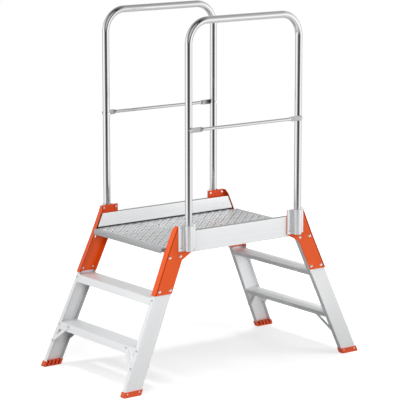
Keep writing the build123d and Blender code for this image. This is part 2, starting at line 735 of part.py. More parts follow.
def socket():
    """Saddle that holds a post against the bracket, closed by a floor at its lower end."""
    bore = GUARD_TUBE / 2 + POST_CLEARANCE
    wide = bore + SOCKET_WALL
    start = PLATE_OUT_Y - POST_Y
    flanges = rectangle_between((-SOCKET_WIDTH / 2, start), (SOCKET_WIDTH / 2, start + SOCKET_FLANGE))
    saddle = Circle(wide) + rectangle_between((-wide, start), (wide, 0))
    outline = flanges + (saddle & rectangle_between((-wide, start), (wide, wide)))
    inner_corners = [
        corner
        for corner in outline.vertices()
        if abs(abs(corner.X) - wide) < SOCKET_WALL and abs(corner.Y - start - SOCKET_FLANGE) < HOLE_CLEARANCE
    ]
    outline = fillet(inner_corners, SOCKET_FILLET)
    cavity = Circle(bore) + rectangle_between((-bore, start - bore), (bore, 0))
    block = extrude(outline, amount=SOCKET_HEIGHT)
    room = Pos(0, 0, SOCKET_FLOOR) * extrude(cavity, amount=SOCKET_HEIGHT)
    saddle_part = Pos(POST_X, POST_Y, SOCKET_BOTTOM) * (block - room)
    for height in socket_bolt_heights():
        seats = socket_bolt_seats(height)
        saddle_part = drilled(saddle_part, seats, SOCKET_BOLT_SHANK, 2 * SOCKET_FLANGE)
    return saddle_part


# Guardrails
def far_hoop():
    """Bent tube: two posts and the top bar."""
    points = [
        (-POST_X, POST_Y, POST_BOTTOM),
        (-POST_X, POST_Y, BAR_Z),
        (POST_X, POST_Y, BAR_Z),
        (POST_X, POST_Y, POST_BOTTOM),
    ]
    path = FilletPolyline(*points, radius=BEND_RADIUS)
    start = Plane(origin=points[0], z_dir=(0, 0, 1))
    ring = Circle(GUARD_TUBE / 2) - Circle(GUARD_TUBE / 2 - GUARD_WALL)
    tube = sweep(start * ring, path=path)
    through = KNEE_FLAT_THICK + GUARD_TUBE + 2 * GUARD_WALL
    tube = drilled(tube, [knee_bolt_seat()], SOCKET_BOLT_SHANK, through)
    return drilled(mirror(tube, about=Plane.YZ), [knee_bolt_seat()], SOCKET_BOLT_SHANK, through)


def far_knee_rail():
    """Slim tube with flattened, rounded ends that lie against the posts."""
    end = POST_X + KNEE_OVERHANG
    flat_start = end - KNEE_FLAT_LENGTH
    taper_start = flat_start - KNEE_TAPER
    along = Plane(origin=(0, KNEE_Y, KNEE_Z), x_dir=(0, 1, 0), z_dir=(1, 0, 0))
    ring = Circle(KNEE_TUBE / 2) - Circle(KNEE_TUBE / 2 - KNEE_WALL)
    tube = extrude(along * ring, amount=taper_start, both=True)
    flat = RectangleRounded(KNEE_FLAT_THICK, KNEE_FLAT_HEIGHT, KNEE_FLAT_THICK / 2 - PLUG_CLEARANCE)
    sections = [
        along.offset(taper_start) * Circle(KNEE_TUBE / 2),
        along.offset(flat_start) * flat,
    ]
    taper = loft(sections)
    face = Plane(origin=(0, KNEE_Y - KNEE_FLAT_THICK / 2, KNEE_Z), x_dir=(1, 0, 0), z_dir=OUT)
    round_end = end - KNEE_FLAT_HEIGHT / 2
    tab = rectangle_between((flat_start, -KNEE_FLAT_HEIGHT / 2), (round_end, KNEE_FLAT_HEIGHT / 2))
    tab = tab + Pos(round_end, 0) * Circle(KNEE_FLAT_HEIGHT / 2)
    plate = extrude(face * tab, amount=KNEE_FLAT_THICK, dir=OUT)
    plate = drilled(plate, [knee_bolt_seat()], SOCKET_BOLT_SHANK, 2 * KNEE_FLAT_THICK)
    closed_end = taper + plate
    return tube + closed_end + mirror(closed_end, about=Plane.YZ)


def far_right_plug():
    """Flanged plug in the lower end of a post."""
    flange = standing_cylinder(GUARD_TUBE, -PLUG_FLANGE, 0)
    spigot = standing_cylinder(GUARD_TUBE - 2 * GUARD_WALL - 2 * PLUG_CLEARANCE, 0, PLUG_DEPTH)
    return Pos(POST_X, POST_Y, POST_BOTTOM) * (flange + spigot)


# Fastener groups
def at_all_corners(seats, part):
    """Copies of a fastener on far right seats, mirrored to all four corners."""
    placed = [place * part for place in seats]
    return [in_corner(shape, sides) for sides in CORNERS.values() for shape in placed]


def fastener_nodes():
    """Groups of identical fasteners, each a separate solid."""
    upper_grip = SOCKET_FLANGE + BRACKET_THICK
    lower_height, upper_height = socket_bolt_heights()
    lower_bolts = at_all_corners(socket_bolt_seats(lower_height), small_bolt(upper_grip + RAIL_WALL))
    upper_bolts = at_all_corners(socket_bolt_seats(upper_height), small_bolt(upper_grip))
    step_rivets = []
    for height in (LOWER_STEP_HEIGHT, UPPER_STEP_HEIGHT):
        grip = STILE_WALL + STEP_CLEARANCE + STEP_WALL
        step_rivets += at_all_corners(step_rivet_seats(height), rivet(grip))
    brace_rivets = at_all_corners(brace_rivet_seats(0), rivet(BRACE_THICK + STILE_WALL))
    brace_rivets += at_all_corners(brace_rivet_seats(1), rivet(BRACE_THICK + STEP_WALL))
    deck_rivet = rivet(DECK_SHEET + JOIST_WALL, DECK_RIVET_HEAD_HEIGHT)
    deck_rivets = [place * deck_rivet for place in deck_rivet_seats()]
    deck_rivets += [place * rivet(RAIL_WALL + JOIST_WALL) for place in ledge_rivet_seats()]
    right_rivets = [place * rivet(NOSING_WALL + JOIST_WALL) for place in nosing_rivet_seats()]
    deck_rivets += right_rivets + [mirror(shape, about=Plane.YZ) for shape in right_rivets]
    screw = standing_cylinder(SCREW_SHANK, -SCREW_LENGTH, SCREW_HEAD_HEIGHT / 2)
    screw = screw + round_head(SCREW_HEAD, SCREW_HEAD_HEIGHT)
    bracket_grip = BRACKET_THICK + STILE_WALL + LINER_THICK
    return {
        "bracket_bolts": at_all_corners(bracket_bolt_seats(), bracket_bolt(bracket_grip)),
        "socket_bolts": lower_bolts + upper_bolts,
        "step_rivets": step_rivets,
        "brace_rivets": brace_rivets,
        "deck_rivets": deck_rivets,
        "foot_screws": at_all_corners(foot_screw_seats(), screw),
    }


def guardrail_nodes():
    """Both guardrails: hoop, knee rail, plugs and bolts."""
    plug = far_right_plug()
    knee_bolt = knee_bolt_seat() * small_bolt(KNEE_FLAT_THICK + GUARD_TUBE)
    far = {
        "guardrail_hoop": far_hoop(),
        "knee_rail": far_knee_rail(),
        "post_plugs": Compound([plug, mirror(plug, about=Plane.YZ)]),
        "knee_rail_bolts": Compound([knee_bolt, mirror(knee_bolt, about=Plane.YZ)]),
    }
    nodes = {f"far_{name}": shape for name, shape in far.items()}
    nodes.update({f"near_{name}": mirror(shape, about=Plane.XZ) for name, shape in far.items()})
    return nodes


def ladder_nodes():
    """Stiles, feet, braces, brackets, liners and sockets at each corner, and the steps."""
    faces = dict(zip(("front", "back"), leg_faces()))
    corner_parts = {
        "stile": stile(),
        "foot": foot(),
        "bracket": bracket(),
        "liner": liner(),
        "socket": socket(),
    }
    for side, (across, way) in faces.items():
        corner_parts[f"{side}_brace"] = brace(across, way)
    nodes = {}
    for corner, sides in CORNERS.items():
        for name, shape in corner_parts.items():
            nodes[f"{corner}_{name}"] = in_corner(shape, sides)
    steps = {
        "lower_step": right_step(LOWER_STEP_HEIGHT, True),
        "upper_step": right_step(UPPER_STEP_HEIGHT, False),
    }
    for name, shape in steps.items():
        nodes[f"right_{name}"] = shape
        nodes[f"left_{name}"] = mirror(shape, about=Plane.YZ)
    return nodes


def all_nodes():
    """Every node of the platform by name."""
    nodes = deck_nodes()
    nodes["right_nosing"] = right_nosing()
    nodes["left_nosing"] = mirror(nodes["right_nosing"], about=Plane.YZ)
    nodes["far_side_rail"] = far_rail()
    nodes["near_side_rail"] = mirror(nodes["far_side_rail"], about=Plane.XZ)
    nodes.update(ladder_nodes())
    nodes.update(guardrail_nodes())
    for name, solids in fastener_nodes().items():
        nodes[name] = Compound(solids)
    return nodes


os.makedirs("parts", exist_ok=True)
for node_name, node_shape in all_nodes().items():
    export_step(node_shape, f"parts/{node_name}.step")
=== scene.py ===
"""Looks of a double-sided step platform, drawn over its construction model in the shared frame."""
import logging
import math
from collections.abc import Sequence
from dataclasses import dataclass, field, replace
from enum import Enum
from typing import Any

import bpy
import numpy as np
from mathutils import Euler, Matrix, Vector
from numpy.typing import NDArray


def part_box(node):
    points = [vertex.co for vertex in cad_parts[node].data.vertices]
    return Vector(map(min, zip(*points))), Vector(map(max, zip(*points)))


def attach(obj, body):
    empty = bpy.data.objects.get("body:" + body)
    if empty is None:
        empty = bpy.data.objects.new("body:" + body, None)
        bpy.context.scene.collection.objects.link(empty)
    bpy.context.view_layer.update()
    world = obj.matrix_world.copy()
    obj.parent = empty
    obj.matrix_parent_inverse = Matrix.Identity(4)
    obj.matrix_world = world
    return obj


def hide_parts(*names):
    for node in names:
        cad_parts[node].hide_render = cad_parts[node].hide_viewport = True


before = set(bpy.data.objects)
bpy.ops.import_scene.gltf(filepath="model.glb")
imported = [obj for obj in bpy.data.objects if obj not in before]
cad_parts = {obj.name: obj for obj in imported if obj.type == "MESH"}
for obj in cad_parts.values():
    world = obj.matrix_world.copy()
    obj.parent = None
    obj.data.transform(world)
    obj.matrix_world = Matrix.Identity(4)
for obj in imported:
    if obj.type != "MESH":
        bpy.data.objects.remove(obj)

Array = NDArray[np.float64]
Colour = tuple[float, float, float, float]
Point = tuple[float, float, float]
Stops = tuple[tuple[float, float], ...]

LOG = logging.getLogger("step_platform")
FRAME_BODY = "frame"
MM = 0.001
WELD = 1e-4  # points closer than this, in millimetres, become one
NODE_WELD = WELD * MM * 10  # the same for copies of nodes, in metres and ten times as wide
NEARLY_ONE = 0.999999  # largest cosine of a corner that can be rounded
TINY = 1e-12  # keeps the direction of an empty chord defined
ARC_STEPS = 5  # straight pieces of a rounded corner, where nothing else is said
EASE_ROWS = 3  # rows of points round an eased end
SMALL_EDGE = 0.7  # radius of an edge that is only broken, in millimetres
NOISE_DETAIL = 3.0
TINT_SPAN = (0.35, 0.7)  # part of the noise over which the colour changes
GLOSS_SPAN = (0.3, 0.7)  # part of the noise over which the roughness changes


class Place(Enum):
    """Choice that the names of nodes carry."""

    @property
    def label(self) -> str:
        """Name of the choice as the nodes carry it."""
        return self.name.lower()


class Side(Place):
    """Long side of the platform, by the sign of Y."""

    NEAR = -1
    FAR = 1


class End(Place):
    """End of the platform with a ladder, by the sign of X."""

    LEFT = -1
    RIGHT = 1


@dataclass(frozen=True)
class Corner:
    """One of the four corners, each a mirror image of the far right one."""

    side: Side
    end: End

    @property
    def label(self) -> str:
        """Name of the corner as the nodes carry it."""
        return f"{self.side.label}_{self.end.label}"

    @property
    def signs(self) -> tuple[int, int]:
        """Signs of X and Y that mirror a far right piece into this corner."""
        return self.end.value, self.side.value


CORNERS = [Corner(side, end) for side in Side for end in End]


def linear(hex_colour: str) -> Colour:
    """Turn an sRGB hex colour into linear light.

    Args:
        hex_colour: six hex digits after a hash sign.

    Returns:
        Linear red, green, blue and an alpha of one.
    """
    channels = [int(hex_colour[at : at + 2], 16) / 255 for at in (1, 3, 5)]
    light = [c / 12.92 if c <= 0.04045 else ((c + 0.055) / 1.055) ** 2.4 for c in channels]
    return light[0], light[1], light[2], 1.0


WHITE = linear("#FFFFFF")


def empty_tree(owner: bpy.types.Material | bpy.types.World) -> bpy.types.NodeTree:
    """Clear the nodes of a material or a world.

    Args:
        owner: the material or the world.

    Returns:
        Its node tree, with nothing in it.
    """
    owner.use_nodes = True
    owner.node_tree.nodes.clear()
    return owner.node_tree


def add_object(name: str, data: bpy.types.ID) -> bpy.types.Object:
    """Add an object to the scene, at the origin.

    Args:
        name: name of the object.
        data: its mesh, lamp or camera.

    Returns:
        The new object.
    """
    made = bpy.data.objects.new(name, data)
    bpy.context.scene.collection.objects.link(made)
    return made


def add_node(
    tree: bpy.types.NodeTree,
    kind: str,
    inputs: dict[Any, Any] | None = None,
    stops: Sequence[tuple[float, Colour]] = (),
    **settings: Any,
) -> bpy.types.Node:
    """Add a shader node, set it up and wire it.

    Args:
        tree: node tree that gets the node.
        kind: class name of the node.
        inputs: value, output socket or node for each input, by name or index; a node stands for its
            first output.
        stops: place and colour of each stop of a colour ramp, in rising order of place.
        settings: properties of the node itself.

    Returns:
        The new node.
    """
    node = tree.nodes.new(kind)
    for name, value in settings.items():
        setattr(node, name, value)
    for key, value in (inputs or {}).items():
        source = value.outputs[0] if isinstance(value, bpy.types.Node) else value
        if isinstance(source, bpy.types.NodeSocket):
            tree.links.new(source, node.inputs[key])
        else:
            node.inputs[key].default_value = source
    if stops:
        elements = node.color_ramp.elements
        while len(elements) < len(stops):
            elements.new(0.5)
        for element, (place, colour) in zip(elements, stops):
            element.position = place
            element.color = colour
    return node


@dataclass(frozen=True)
class Finish:
    """Surface of a real material: its colour, its gloss and the marks that making it leaves."""

    name: str
    slot: str
    colour: str
    marked: str
    metallic: float
    roughness: float
    unevenness: float
    grain: tuple[float, float, float]
    relief: float
    lengthwise: bool = False
    ior: float | None = None

    def material(self) -> bpy.types.Material:
        """Build the finish as a shader.

        Grain in millimetres sets the size of one noise, which moves the colour from `colour` to
        `marked`, the roughness by `unevenness` and the surface by `relief` millimetres.

        Returns:
            The material, made once and shared.
        """
        made = bpy.data.materials.get(self.name)
        if made:
            return made
        made = bpy.data.materials.new(self.name)
        made.diffuse_color = linear(self.colour)
        tree = empty_tree(made)
        place = add_node(tree, "ShaderNodeTexCoord").outputs["UV" if self.lengthwise else "Object"]
        scale = [1 / (size * MM) for size in self.grain]
        spread = add_node(tree, "ShaderNodeMapping", {"Vector": place, "Scale": scale})
        noise = add_node(
            tree, "ShaderNodeTexNoise", {"Vector": spread, "Scale": 1.0, "Detail": NOISE_DETAIL}
        ).outputs["Fac"]
        colours = (linear(self.colour), linear(self.marked))
        tint = add_node(tree, "ShaderNodeValToRGB", {"Fac": noise}, list(zip(TINT_SPAN, colours)))
        gloss = add_node(
            tree,
            "ShaderNodeMapRange",
            {
                "Value": noise,
                "From Min": GLOSS_SPAN[0],
                "From Max": GLOSS_SPAN[1],
                "To Min": self.roughness - self.unevenness,
                "To Max": self.roughness + self.unevenness,
            },
        )
        bump = add_node(
            tree, "ShaderNodeBump", {"Height": noise, "Strength": 1.0, "Distance": self.relief * MM}
        )
        surface = add_node(
            tree,
            "ShaderNodeBsdfPrincipled",
            {"Base Color": tint, "Metallic": self.metallic, "Roughness": gloss, "Normal": bump},
        )
        if self.ior is not None:
            surface.inputs["IOR"].default_value = self.ior
        add_node(tree, "ShaderNodeOutputMaterial", {"Surface": surface})
        return made


# Long, nearly straight die lines that break up the reflections along the extrusion. The real lines
# are under a millimetre apart; they are drawn a few millimetres apart so that they can be seen.
EXTRUSION = Finish(
    "mill finish aluminium extrusion", "aluminium_extrusion", "#E6E7E8", "#E0E1E2",
    0.3, 0.38, 0.04, (900.0, 4.0, 4.0), 0.004, lengthwise=True,
)
# The same metal on the steps, whose fine serrated tread is too small to draw.
TREAD = replace(EXTRUSION, name="serrated aluminium step")
# Painted shade on what faces back under the platform, the stiles' back flanges, the braces on them
# and the steps' back skirts: a greyer copy of the extrusion.
BACK_SHADE = replace(
    EXTRUSION, name="aluminium extrusion with painted shade", colour="#BCBDBE", marked="#B4B5B6",
    roughness=0.42,
)
# Upper edges of the rails, rubbed bright by boots, which mirror the dark of the studio.
WORN = Finish(
    "rubbed aluminium edge", "aluminium_extrusion", "#CDCECF", "#C6C7C8",
    1.0, 0.25, 0.03, (900.0, 4.0, 4.0), 0.001, lengthwise=True,
)
# Painted shade inside the rails' hooks: a nearly black metal, so that the slot over the deck stays
# dark.
HOOK_SHADE = Finish(
    "aluminium hook with painted shade", "aluminium_extrusion", "#48494B", "#3E3F41",
    1.0, 0.6, 0.05, (40.0, 40.0, 40.0), 0.004,
)
# Polished saddles that mirror the studio in soft bands.
SADDLE = Finish(
    "brushed aluminium saddle", "aluminium_extrusion", "#E2E3E4", "#DBDCDD",
    0.8, 0.28, 0.03, (900.0, 4.0, 4.0), 0.001, lengthwise=True,
)
# Bent strip of dull sheet along the platform's ends.
STRIP = Finish(
    "bent aluminium strip", "aluminium_extrusion", "#ABACAD", "#A3A4A5",
    0.35, 0.4, 0.04, (900.0, 4.0, 4.0), 0.004, lengthwise=True,
)
# Smooth bright tube with a faint lengthwise draw mark, so that it carries crisp long stripes.
TUBE = Finish(
    "bright drawn aluminium tube", "aluminium_tube", "#CDCDCE", "#C6C6C7",
    1.0, 0.12, 0.02, (700.0, 5.0, 5.0), 0.0004, lengthwise=True,
)
# Tube ends pressed flat, which lost their polish in the tool.
PRESSED = Finish(
    "pressed aluminium tube", "aluminium_tube", "#A2A3A4", "#98999A",
    1.0, 0.3, 0.03, (60.0, 60.0, 60.0), 0.001,
)
# Rolled sheet, duller than the extrusions, with a cloudy gloss.
SHEET = Finish(
    "rolled aluminium sheet", "aluminium_sheet", "#E6E7E8", "#DEDFE0",
    0.8, 0.31, 0.03, (30.0, 30.0, 30.0), 0.004,
)
# Painted shade on the walls of the punched holes: a nearly black metal, which makes the holes read
# as dark.
HOLE_SHADE = Finish(
    "hole walls with painted shade", "aluminium_sheet", "#353638", "#2B2C2E",
    1.0, 0.6, 0.05, (2.0, 2.0, 2.0), 0.02,
)
# Small soft metal heads, a little darker than what they hold.
RIVET = Finish(
    "set aluminium rivet", "aluminium_rivet", "#B9BABC", "#A9AAAD",
    1.0, 0.38, 0.05, (3.0, 3.0, 3.0), 0.01,
)
# Clear bright plating, with sharp little reflections on the domes.
ZINC = Finish(
    "zinc plated steel", "zinc_steel", "#F0F0F0", "#E4E5E6",
    1.0, 0.12, 0.03, (4.0, 4.0, 4.0), 0.002,
)
# Baked powder: an even orange with a soft sheen and a fine orange peel. The real peel is about a
# millimetre across; it is drawn larger so that it shows.
COAT = Finish(
    "orange powder coat", "orange_powder_coat", "#E25411", "#DE500F",
    0.0, 0.3, 0.03, (5.0, 5.0, 5.0), 0.004, ior=1.4,
)
# Painted shade: a darker coat in the crease beside the brackets' fold and on the flange's free
# edge, which draws a dark line there.
CREASE_SHADE = Finish(
    "dusty orange powder coat", "orange_powder_coat", "#9A3208", "#8E2C06",
    0.0, 0.6, 0.05, (5.0, 5.0, 5.0), 0.004, ior=1.4,
)
# Painted shade: the coat inside the brackets' fold, deeper and redder.
COAT_SHADE = Finish(
    "thin orange powder coat", "orange_powder_coat", "#C43F0D", "#BC3A0B",
    0.0, 0.36, 0.03, (5.0, 5.0, 5.0), 0.004, ior=1.4,
)
# Moulded plastic: flatter and a shade redder than the coat.
PLASTIC = Finish(
    "moulded orange polypropylene", "orange_plastic", "#E6592A", "#E05427",
    0.0, 0.48, 0.04, (3.0, 3.0, 3.0), 0.02, ior=1.49,
)
# Painted shade: the same plastic inside the slots, darker and duller, which keeps them dark.
SLOT_SHADE = Finish(
    "orange polypropylene with painted shade", "orange_plastic", "#CE160A", "#C41408",
    0.0, 0.6, 0.05, (3.0, 3.0, 3.0), 0.02, ior=1.49,
)
# Black moulded plugs in the post ends.
PLUG = Finish(
    "moulded black polyethylene", "plug_plastic", "#1E1E20", "#18181A",
    0.0, 0.5, 0.04, (3.0, 3.0, 3.0), 0.02, ior=1.51,
)


def box_mm(node: str) -> tuple[Array, Array]:
    """Lowest and highest corner of a node of the construction model.

    Args:
        node: name of the node.

    Returns:
        Both corners in millimetres.
    """
    low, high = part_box(node)
    return np.array(low) / MM, np.array(high) / MM


def unit(vectors: Array) -> Array:
    """Vectors along the last axis scaled to length one."""
    return vectors / np.linalg.norm(vectors, axis=-1, keepdims=True)


def smooth(share: Array) -> Array:
    """Ease a share between nought and one: three squares less two cubes."""
    held = np.clip(share, 0, 1)
    return held * held * (3 - 2 * held)


def rounded_outline(corners: Array, radii: Sequence[float], steps: int = ARC_STEPS) -> Array:
    """Round every corner of a closed outline.

    Each corner becomes an arc between its two tangent points, which lie the radius over the tangent
    of half the corner's angle away from it. The arc turns about the centre on the bisector.

    Args:
        corners: outline corners, (..., count, 2).
        radii: radius at each corner.
        steps: straight pieces per arc.

    Returns:
        Points of the rounded outline, (..., count * (steps + 1), 2).
    """
    radius = np.asarray(radii, dtype=float)[..., :, None]
    back = unit(np.roll(corners, 1, axis=-2) - corners)
    ahead = unit(np.roll(corners, -1, axis=-2) - corners)
    cosine = np.clip(np.sum(back * ahead, axis=-1, keepdims=True), -NEARLY_ONE, NEARLY_ONE)
    half = np.arccos(cosine) / 2
    reach = radius / np.tan(half)
    centre = corners + unit(back + ahead) * radius / np.sin(half)
    first = corners + back * reach - centre
    last = corners + ahead * reach - centre
    turn = (np.pi - 2 * half)[..., None, :]
    share = np.linspace(0, 1, steps + 1)[:, None]
    leaving = np.sin((1 - share) * turn) * first[..., None, :]
    coming = np.sin(share * turn) * last[..., None, :]
    points = centre[..., None, :] + (leaving + coming) / np.sin(turn)
    return points.reshape(*points.shape[:-3], -1, 2)


def inset_outline(outline: Array, depth: float) -> Array:
    """Move a closed outline inwards.

    Every point moves by `depth` against the outward normal, which is the chord between its two
    neighbours turned by a quarter and pointed away from the enclosed area.

    Args:
        outline: points of the outline, (count, 2).
        depth: how far it moves.

    Returns:
        The moved points.
    """
    chord = unit(np.roll(outline, -1, axis=0) - np.roll(outline, 1, axis=0) + TINY)
    following = np.roll(outline, -1, axis=0)
    area = np.sum(outline[:, 0] * following[:, 1] - outline[:, 1] * following[:, 0])
    normal = np.stack([chord[:, 1], -chord[:, 0]], axis=1) * np.sign(area)
    return outline - normal * depth


def corner_columns(
    outline: Array, first: int, last: int, steps: int = ARC_STEPS
) -> tuple[int, ...]:
    """Columns of a rounded outline from the middle of one corner to the middle of a later one.

    Args:
        outline: points of the outline, (..., count, 2).
        first: corner that the columns start at.
        last: corner that they end at, which may count on past the last one.
        steps: straight pieces per arc.

    Returns:
        Numbers of the columns.
    """
    arc = steps + 1
    return tuple((np.arange(first * arc, last * arc) + arc // 2) % outline.shape[-2])


def lift(flat: Array, heights: Array) -> Array:
    """Give every row of flat points its own third coordinate.

    Args:
        flat: points, (rows, count, 2).
        heights: third coordinate of each row, (rows,).

    Returns:
        Points, (rows, count, 3).
    """
    third = np.broadcast_to(heights[:, None, None], (*flat.shape[:2], 1))
    return np.concatenate([flat, third], axis=-1)


def weld(points: Array, span: float) -> tuple[Array, Array]:
    """Make one of all points that round to the same multiple of a span.

    Args:
        points: the points, (count, 3).
        span: distance under which points may become one.

    Returns:
        The points that stay, and the number of the one that each point became.
    """
    _, first, inverse = np.unique(
        np.round(points / span), axis=0, return_index=True, return_inverse=True
    )
    return points[first], inverse.reshape(-1)


def close_ring(grid: Array) -> Array:
    """Repeat the first column of grids after their last."""
    return np.concatenate([grid, grid[:, :, :1]], axis=2)


def face_corners(grid: Array) -> Array:
    """Values at the four corners of each face between the neighbours in grids, (faces, 4)."""
    corners = [grid[:, :-1, :-1], grid[:, :-1, 1:], grid[:, 1:, 1:], grid[:, 1:, :-1]]
    return np.stack(corners, axis=-1).reshape(-1, 4)


@dataclass
class Skin:
    """Grids of points round a surface: copies by rows by columns, in millimetres.

    The last column joins the first. Faces in cut rows and columns, and those in shaded columns, can
    have finishes of their own; the shaded columns carry painted shade.
    """

    points: Array
    capped: bool = True
    cut_rows: tuple[int, ...] = ()
    cut_columns: tuple[int, ...] = ()
    shaded_columns: tuple[int, ...] = ()

    def __post_init__(self) -> None:
        """Give a single grid its axis of copies."""
        if self.points.ndim == 3:
            self.points = self.points[None]

    def faces(self, start: int) -> tuple[Array, list[list[int]]]:
        """Four-sided faces between neighbours, and the flat caps.

        Args:
            start: number of the grid's first point.

        Returns:
            Corner numbers of the four-sided faces, and those of each cap.
        """
        index = start + np.arange(self.points[..., 0].size).reshape(self.points.shape[:3])
        caps = index[:, 0, ::-1].tolist() + index[:, -1].tolist() if self.capped else []
        return face_corners(close_ring(index)), caps

    def cut_faces(self) -> Array:
        """Tell the four-sided faces apart by their rows and columns.

        Returns:
            For each face 1 in a cut row or column, 2 in a shaded column, which carries painted
            shade, and 0 elsewhere.
        """
        copies, rows, columns, _ = self.points.shape
        column = np.arange(columns)
        row_cut = np.isin(np.arange(rows - 1), self.cut_rows)
        cut = row_cut[:, None] | np.isin(column, self.cut_columns)
        marks = np.where(cut, 1, np.where(np.isin(column, self.shaded_columns), 2, 0))
        return np.tile(marks.reshape(-1), copies).astype(np.int32)

    def uv(self) -> tuple[Array, list[Array]]:
        """Flat coordinates of every face corner, in metres: length down the rows, then round.

        A length is the running sum of the steps between neighbours, each averaged over its row or
        column. Caps lie flat by their X and Y.

        Returns:
            Coordinates of the four-sided faces, (faces, 4, 2), and those of each cap.
        """
        points = close_ring(self.points)
        maps = []
        for axis, other in ((1, 2), (2, 1)):
            steps = np.linalg.norm(np.diff(points, axis=axis), axis=-1)
            sums = np.cumsum(steps.mean(axis=other, keepdims=True), axis=axis)
            length = np.concatenate([np.zeros((len(points), 1, 1)), sums], axis=axis)
            maps.append(face_corners(np.broadcast_to(length, points.shape[:3]) * MM))
        ends = np.concatenate([self.points[:, 0, ::-1], self.points[:, -1]])
        return np.stack(maps, axis=-1), list(ends[..., :2] * MM) if self.capped else []


def enclosed_volume(points: Array, quads: Array, caps: list[list[int]]) -> float:
    """Volume inside a closed surface: a sixth of the sum of every triangle's triple product.

    Args:
        points: points of the surface, (count, 3).
        quads: corner numbers of the four-sided faces, (faces, 4).
        caps: corner numbers of each cap.

    Returns:
        The volume, negative where the faces are turned inwards.
    """
    a, b, c, d = (points[quads[:, at]] for at in range(4))
    total = np.sum(a * np.cross(b, c)) + np.sum(a * np.cross(c, d))
    for cap in caps:
        ring = points[cap]
        total += np.sum(ring[0] * np.cross(ring[1:-1], ring[2:]))
    return float(total) / 6


def finish_piece(
    mesh: bpy.types.Mesh, node: str, finish: Finish, body: str, sharp: float
) -> bpy.types.Object:
    """Dress a mesh, put it on its body and let it stand for a node.

    Args:
        mesh: the mesh, in metres in the shared frame.
        node: node of the construction model that it replaces.
        finish: its surface.
        body: body that carries it.
        sharp: angle in degrees above which an edge stays sharp.

    Returns:
        The new object.
    """
    mesh.shade_smooth()
    mesh.set_sharp_from_angle(angle=math.radians(sharp))
    mesh.materials.append(finish.material())
    piece = add_object(mesh.name, mesh)
    modifier = piece.modifiers.new("flat faces", "WEIGHTED_NORMAL")
    modifier.keep_sharp = True
    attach(piece, body)
    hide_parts(node)
    LOG.info("%s: %d faces of %s", piece.name, len(mesh.polygons), finish.name)
    return piece


def build_piece(
    node: str,
    skins: Sequence[Skin],
    finish: Finish,
    signs: tuple[int, int] = (1, 1),
    body: str = FRAME_BODY,
    sharp: float = 40.0,
    cut_finishes: Sequence[Finish] = (),
) -> None:
    """Join skins into one mesh that stands for a node.

    Points that coincide are welded, and the faces are turned round if the enclosed volume comes out
    negative, as it does for a piece mirrored once.

    Args:
        node: node of the construction model that the piece replaces.
        skins: closed surfaces in millimetres, at the far right.
        finish: surface of the piece.
        signs: signs of X and Y that mirror it into place.
        body: body that carries it.
        sharp: angle in degrees above which an edge stays sharp.
        cut_finishes: surface of the faces in cut rows and columns, then that of shaded columns;
            several of these are painted shade.
    """
    quads: list[Array] = []
    maps: list[Array] = []
    caps: list[list[int]] = []
    cap_maps: list[Array] = []
    start = 0
    for skin in skins:
        own_quads, own_caps = skin.faces(start)
        own_map, own_cap_maps = skin.uv()
        quads.append(own_quads)
        maps.append(own_map)
        caps += own_caps
        cap_maps += own_cap_maps
        start += skin.points[..., 0].size
    points = np.concatenate([skin.points.reshape(-1, 3) for skin in skins]) * np.array([*signs, 1])
    corners, flat = np.concatenate(quads), np.concatenate(maps)
    if enclosed_volume(points, corners, caps) < 0:
        corners, flat = corners[:, ::-1], flat[:, ::-1]
        caps = [cap[::-1] for cap in caps]
        cap_maps = [own[::-1] for own in cap_maps]
    kept, number = weld(points, WELD)
    mesh = bpy.data.meshes.new(f"{node}_skin")
    faces = number[corners].tolist() + [number[cap].tolist() for cap in caps]
    mesh.from_pydata((kept * MM).tolist(), [], faces)
    layer = mesh.uv_layers.new(name="lengths")
    every_map = np.concatenate([flat.reshape(-1, 2), *cap_maps])
    layer.data.foreach_set("uv", every_map.astype(np.float32).ravel())
    mesh.update()
    finish_piece(mesh, node, finish, body, sharp)
    for cut_finish in cut_finishes:
        mesh.materials.append(cut_finish.material())
    if cut_finishes:
        marks = [skin.cut_faces() for skin in skins] + [np.zeros(len(caps), dtype=np.int32)]
        mesh.polygons.foreach_set("material_index", np.concatenate(marks))


def weld_node(
    node: str, finish: Finish, body: str = FRAME_BODY, sharp: float = 35.0
) -> bpy.types.Object:
    """Copy a node with its loose triangles welded, so that its curves shade smoothly.

    Args:
        node: node of the construction model.
        finish: surface of the copy.
        body: body that carries it.
        sharp: angle in degrees above which an edge stays sharp.

    Returns:
        The copy, which stands for the node.
    """
    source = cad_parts[node].data
    source.calc_loop_triangles()
    points = np.empty(3 * len(source.vertices))
    source.vertices.foreach_get("co", points)
    corners = np.empty(3 * len(source.loop_triangles), dtype=np.int32)
    source.loop_triangles.foreach_get("vertices", corners)
    kept, number = weld(points.reshape(-1, 3), NODE_WELD)
    faces = number[corners.reshape(-1, 3)]
    real = np.all(faces != np.roll(faces, 1, axis=1), axis=1)
    mesh = bpy.data.meshes.new(f"{node}_skin")
    mesh.from_pydata(kept.tolist(), [], faces[real].tolist())
    mesh.update()
    return finish_piece(mesh, node, finish, body, sharp)


def extrusion(outline: Array, low: float, high: float, edge: float = 0.4) -> tuple[Array, Array]:
    """Rows of an outline along a straight bar, with its cut ends eased.

    Near each end the outline shrinks along a quarter circle of radius `edge`.

    Args:
        outline: closed outline, (count, 2).
        low: place of the first end along the bar.
        high: place of the other end.
        edge: radius of the eased edge.

    Returns:
        Outlines (rows, count, 2) and their places along the bar (rows,).
    """
    turn = np.linspace(0, np.pi / 2, EASE_ROWS)
    depth = edge * (1 - np.sin(turn))
    place = edge * (1 - np.cos(turn))
    eased = [inset_outline(outline, step) for step in depth]
    rows = np.array(eased + eased[::-1])
    places = np.concatenate([low + place, high - place[::-1]])
    return rows, places


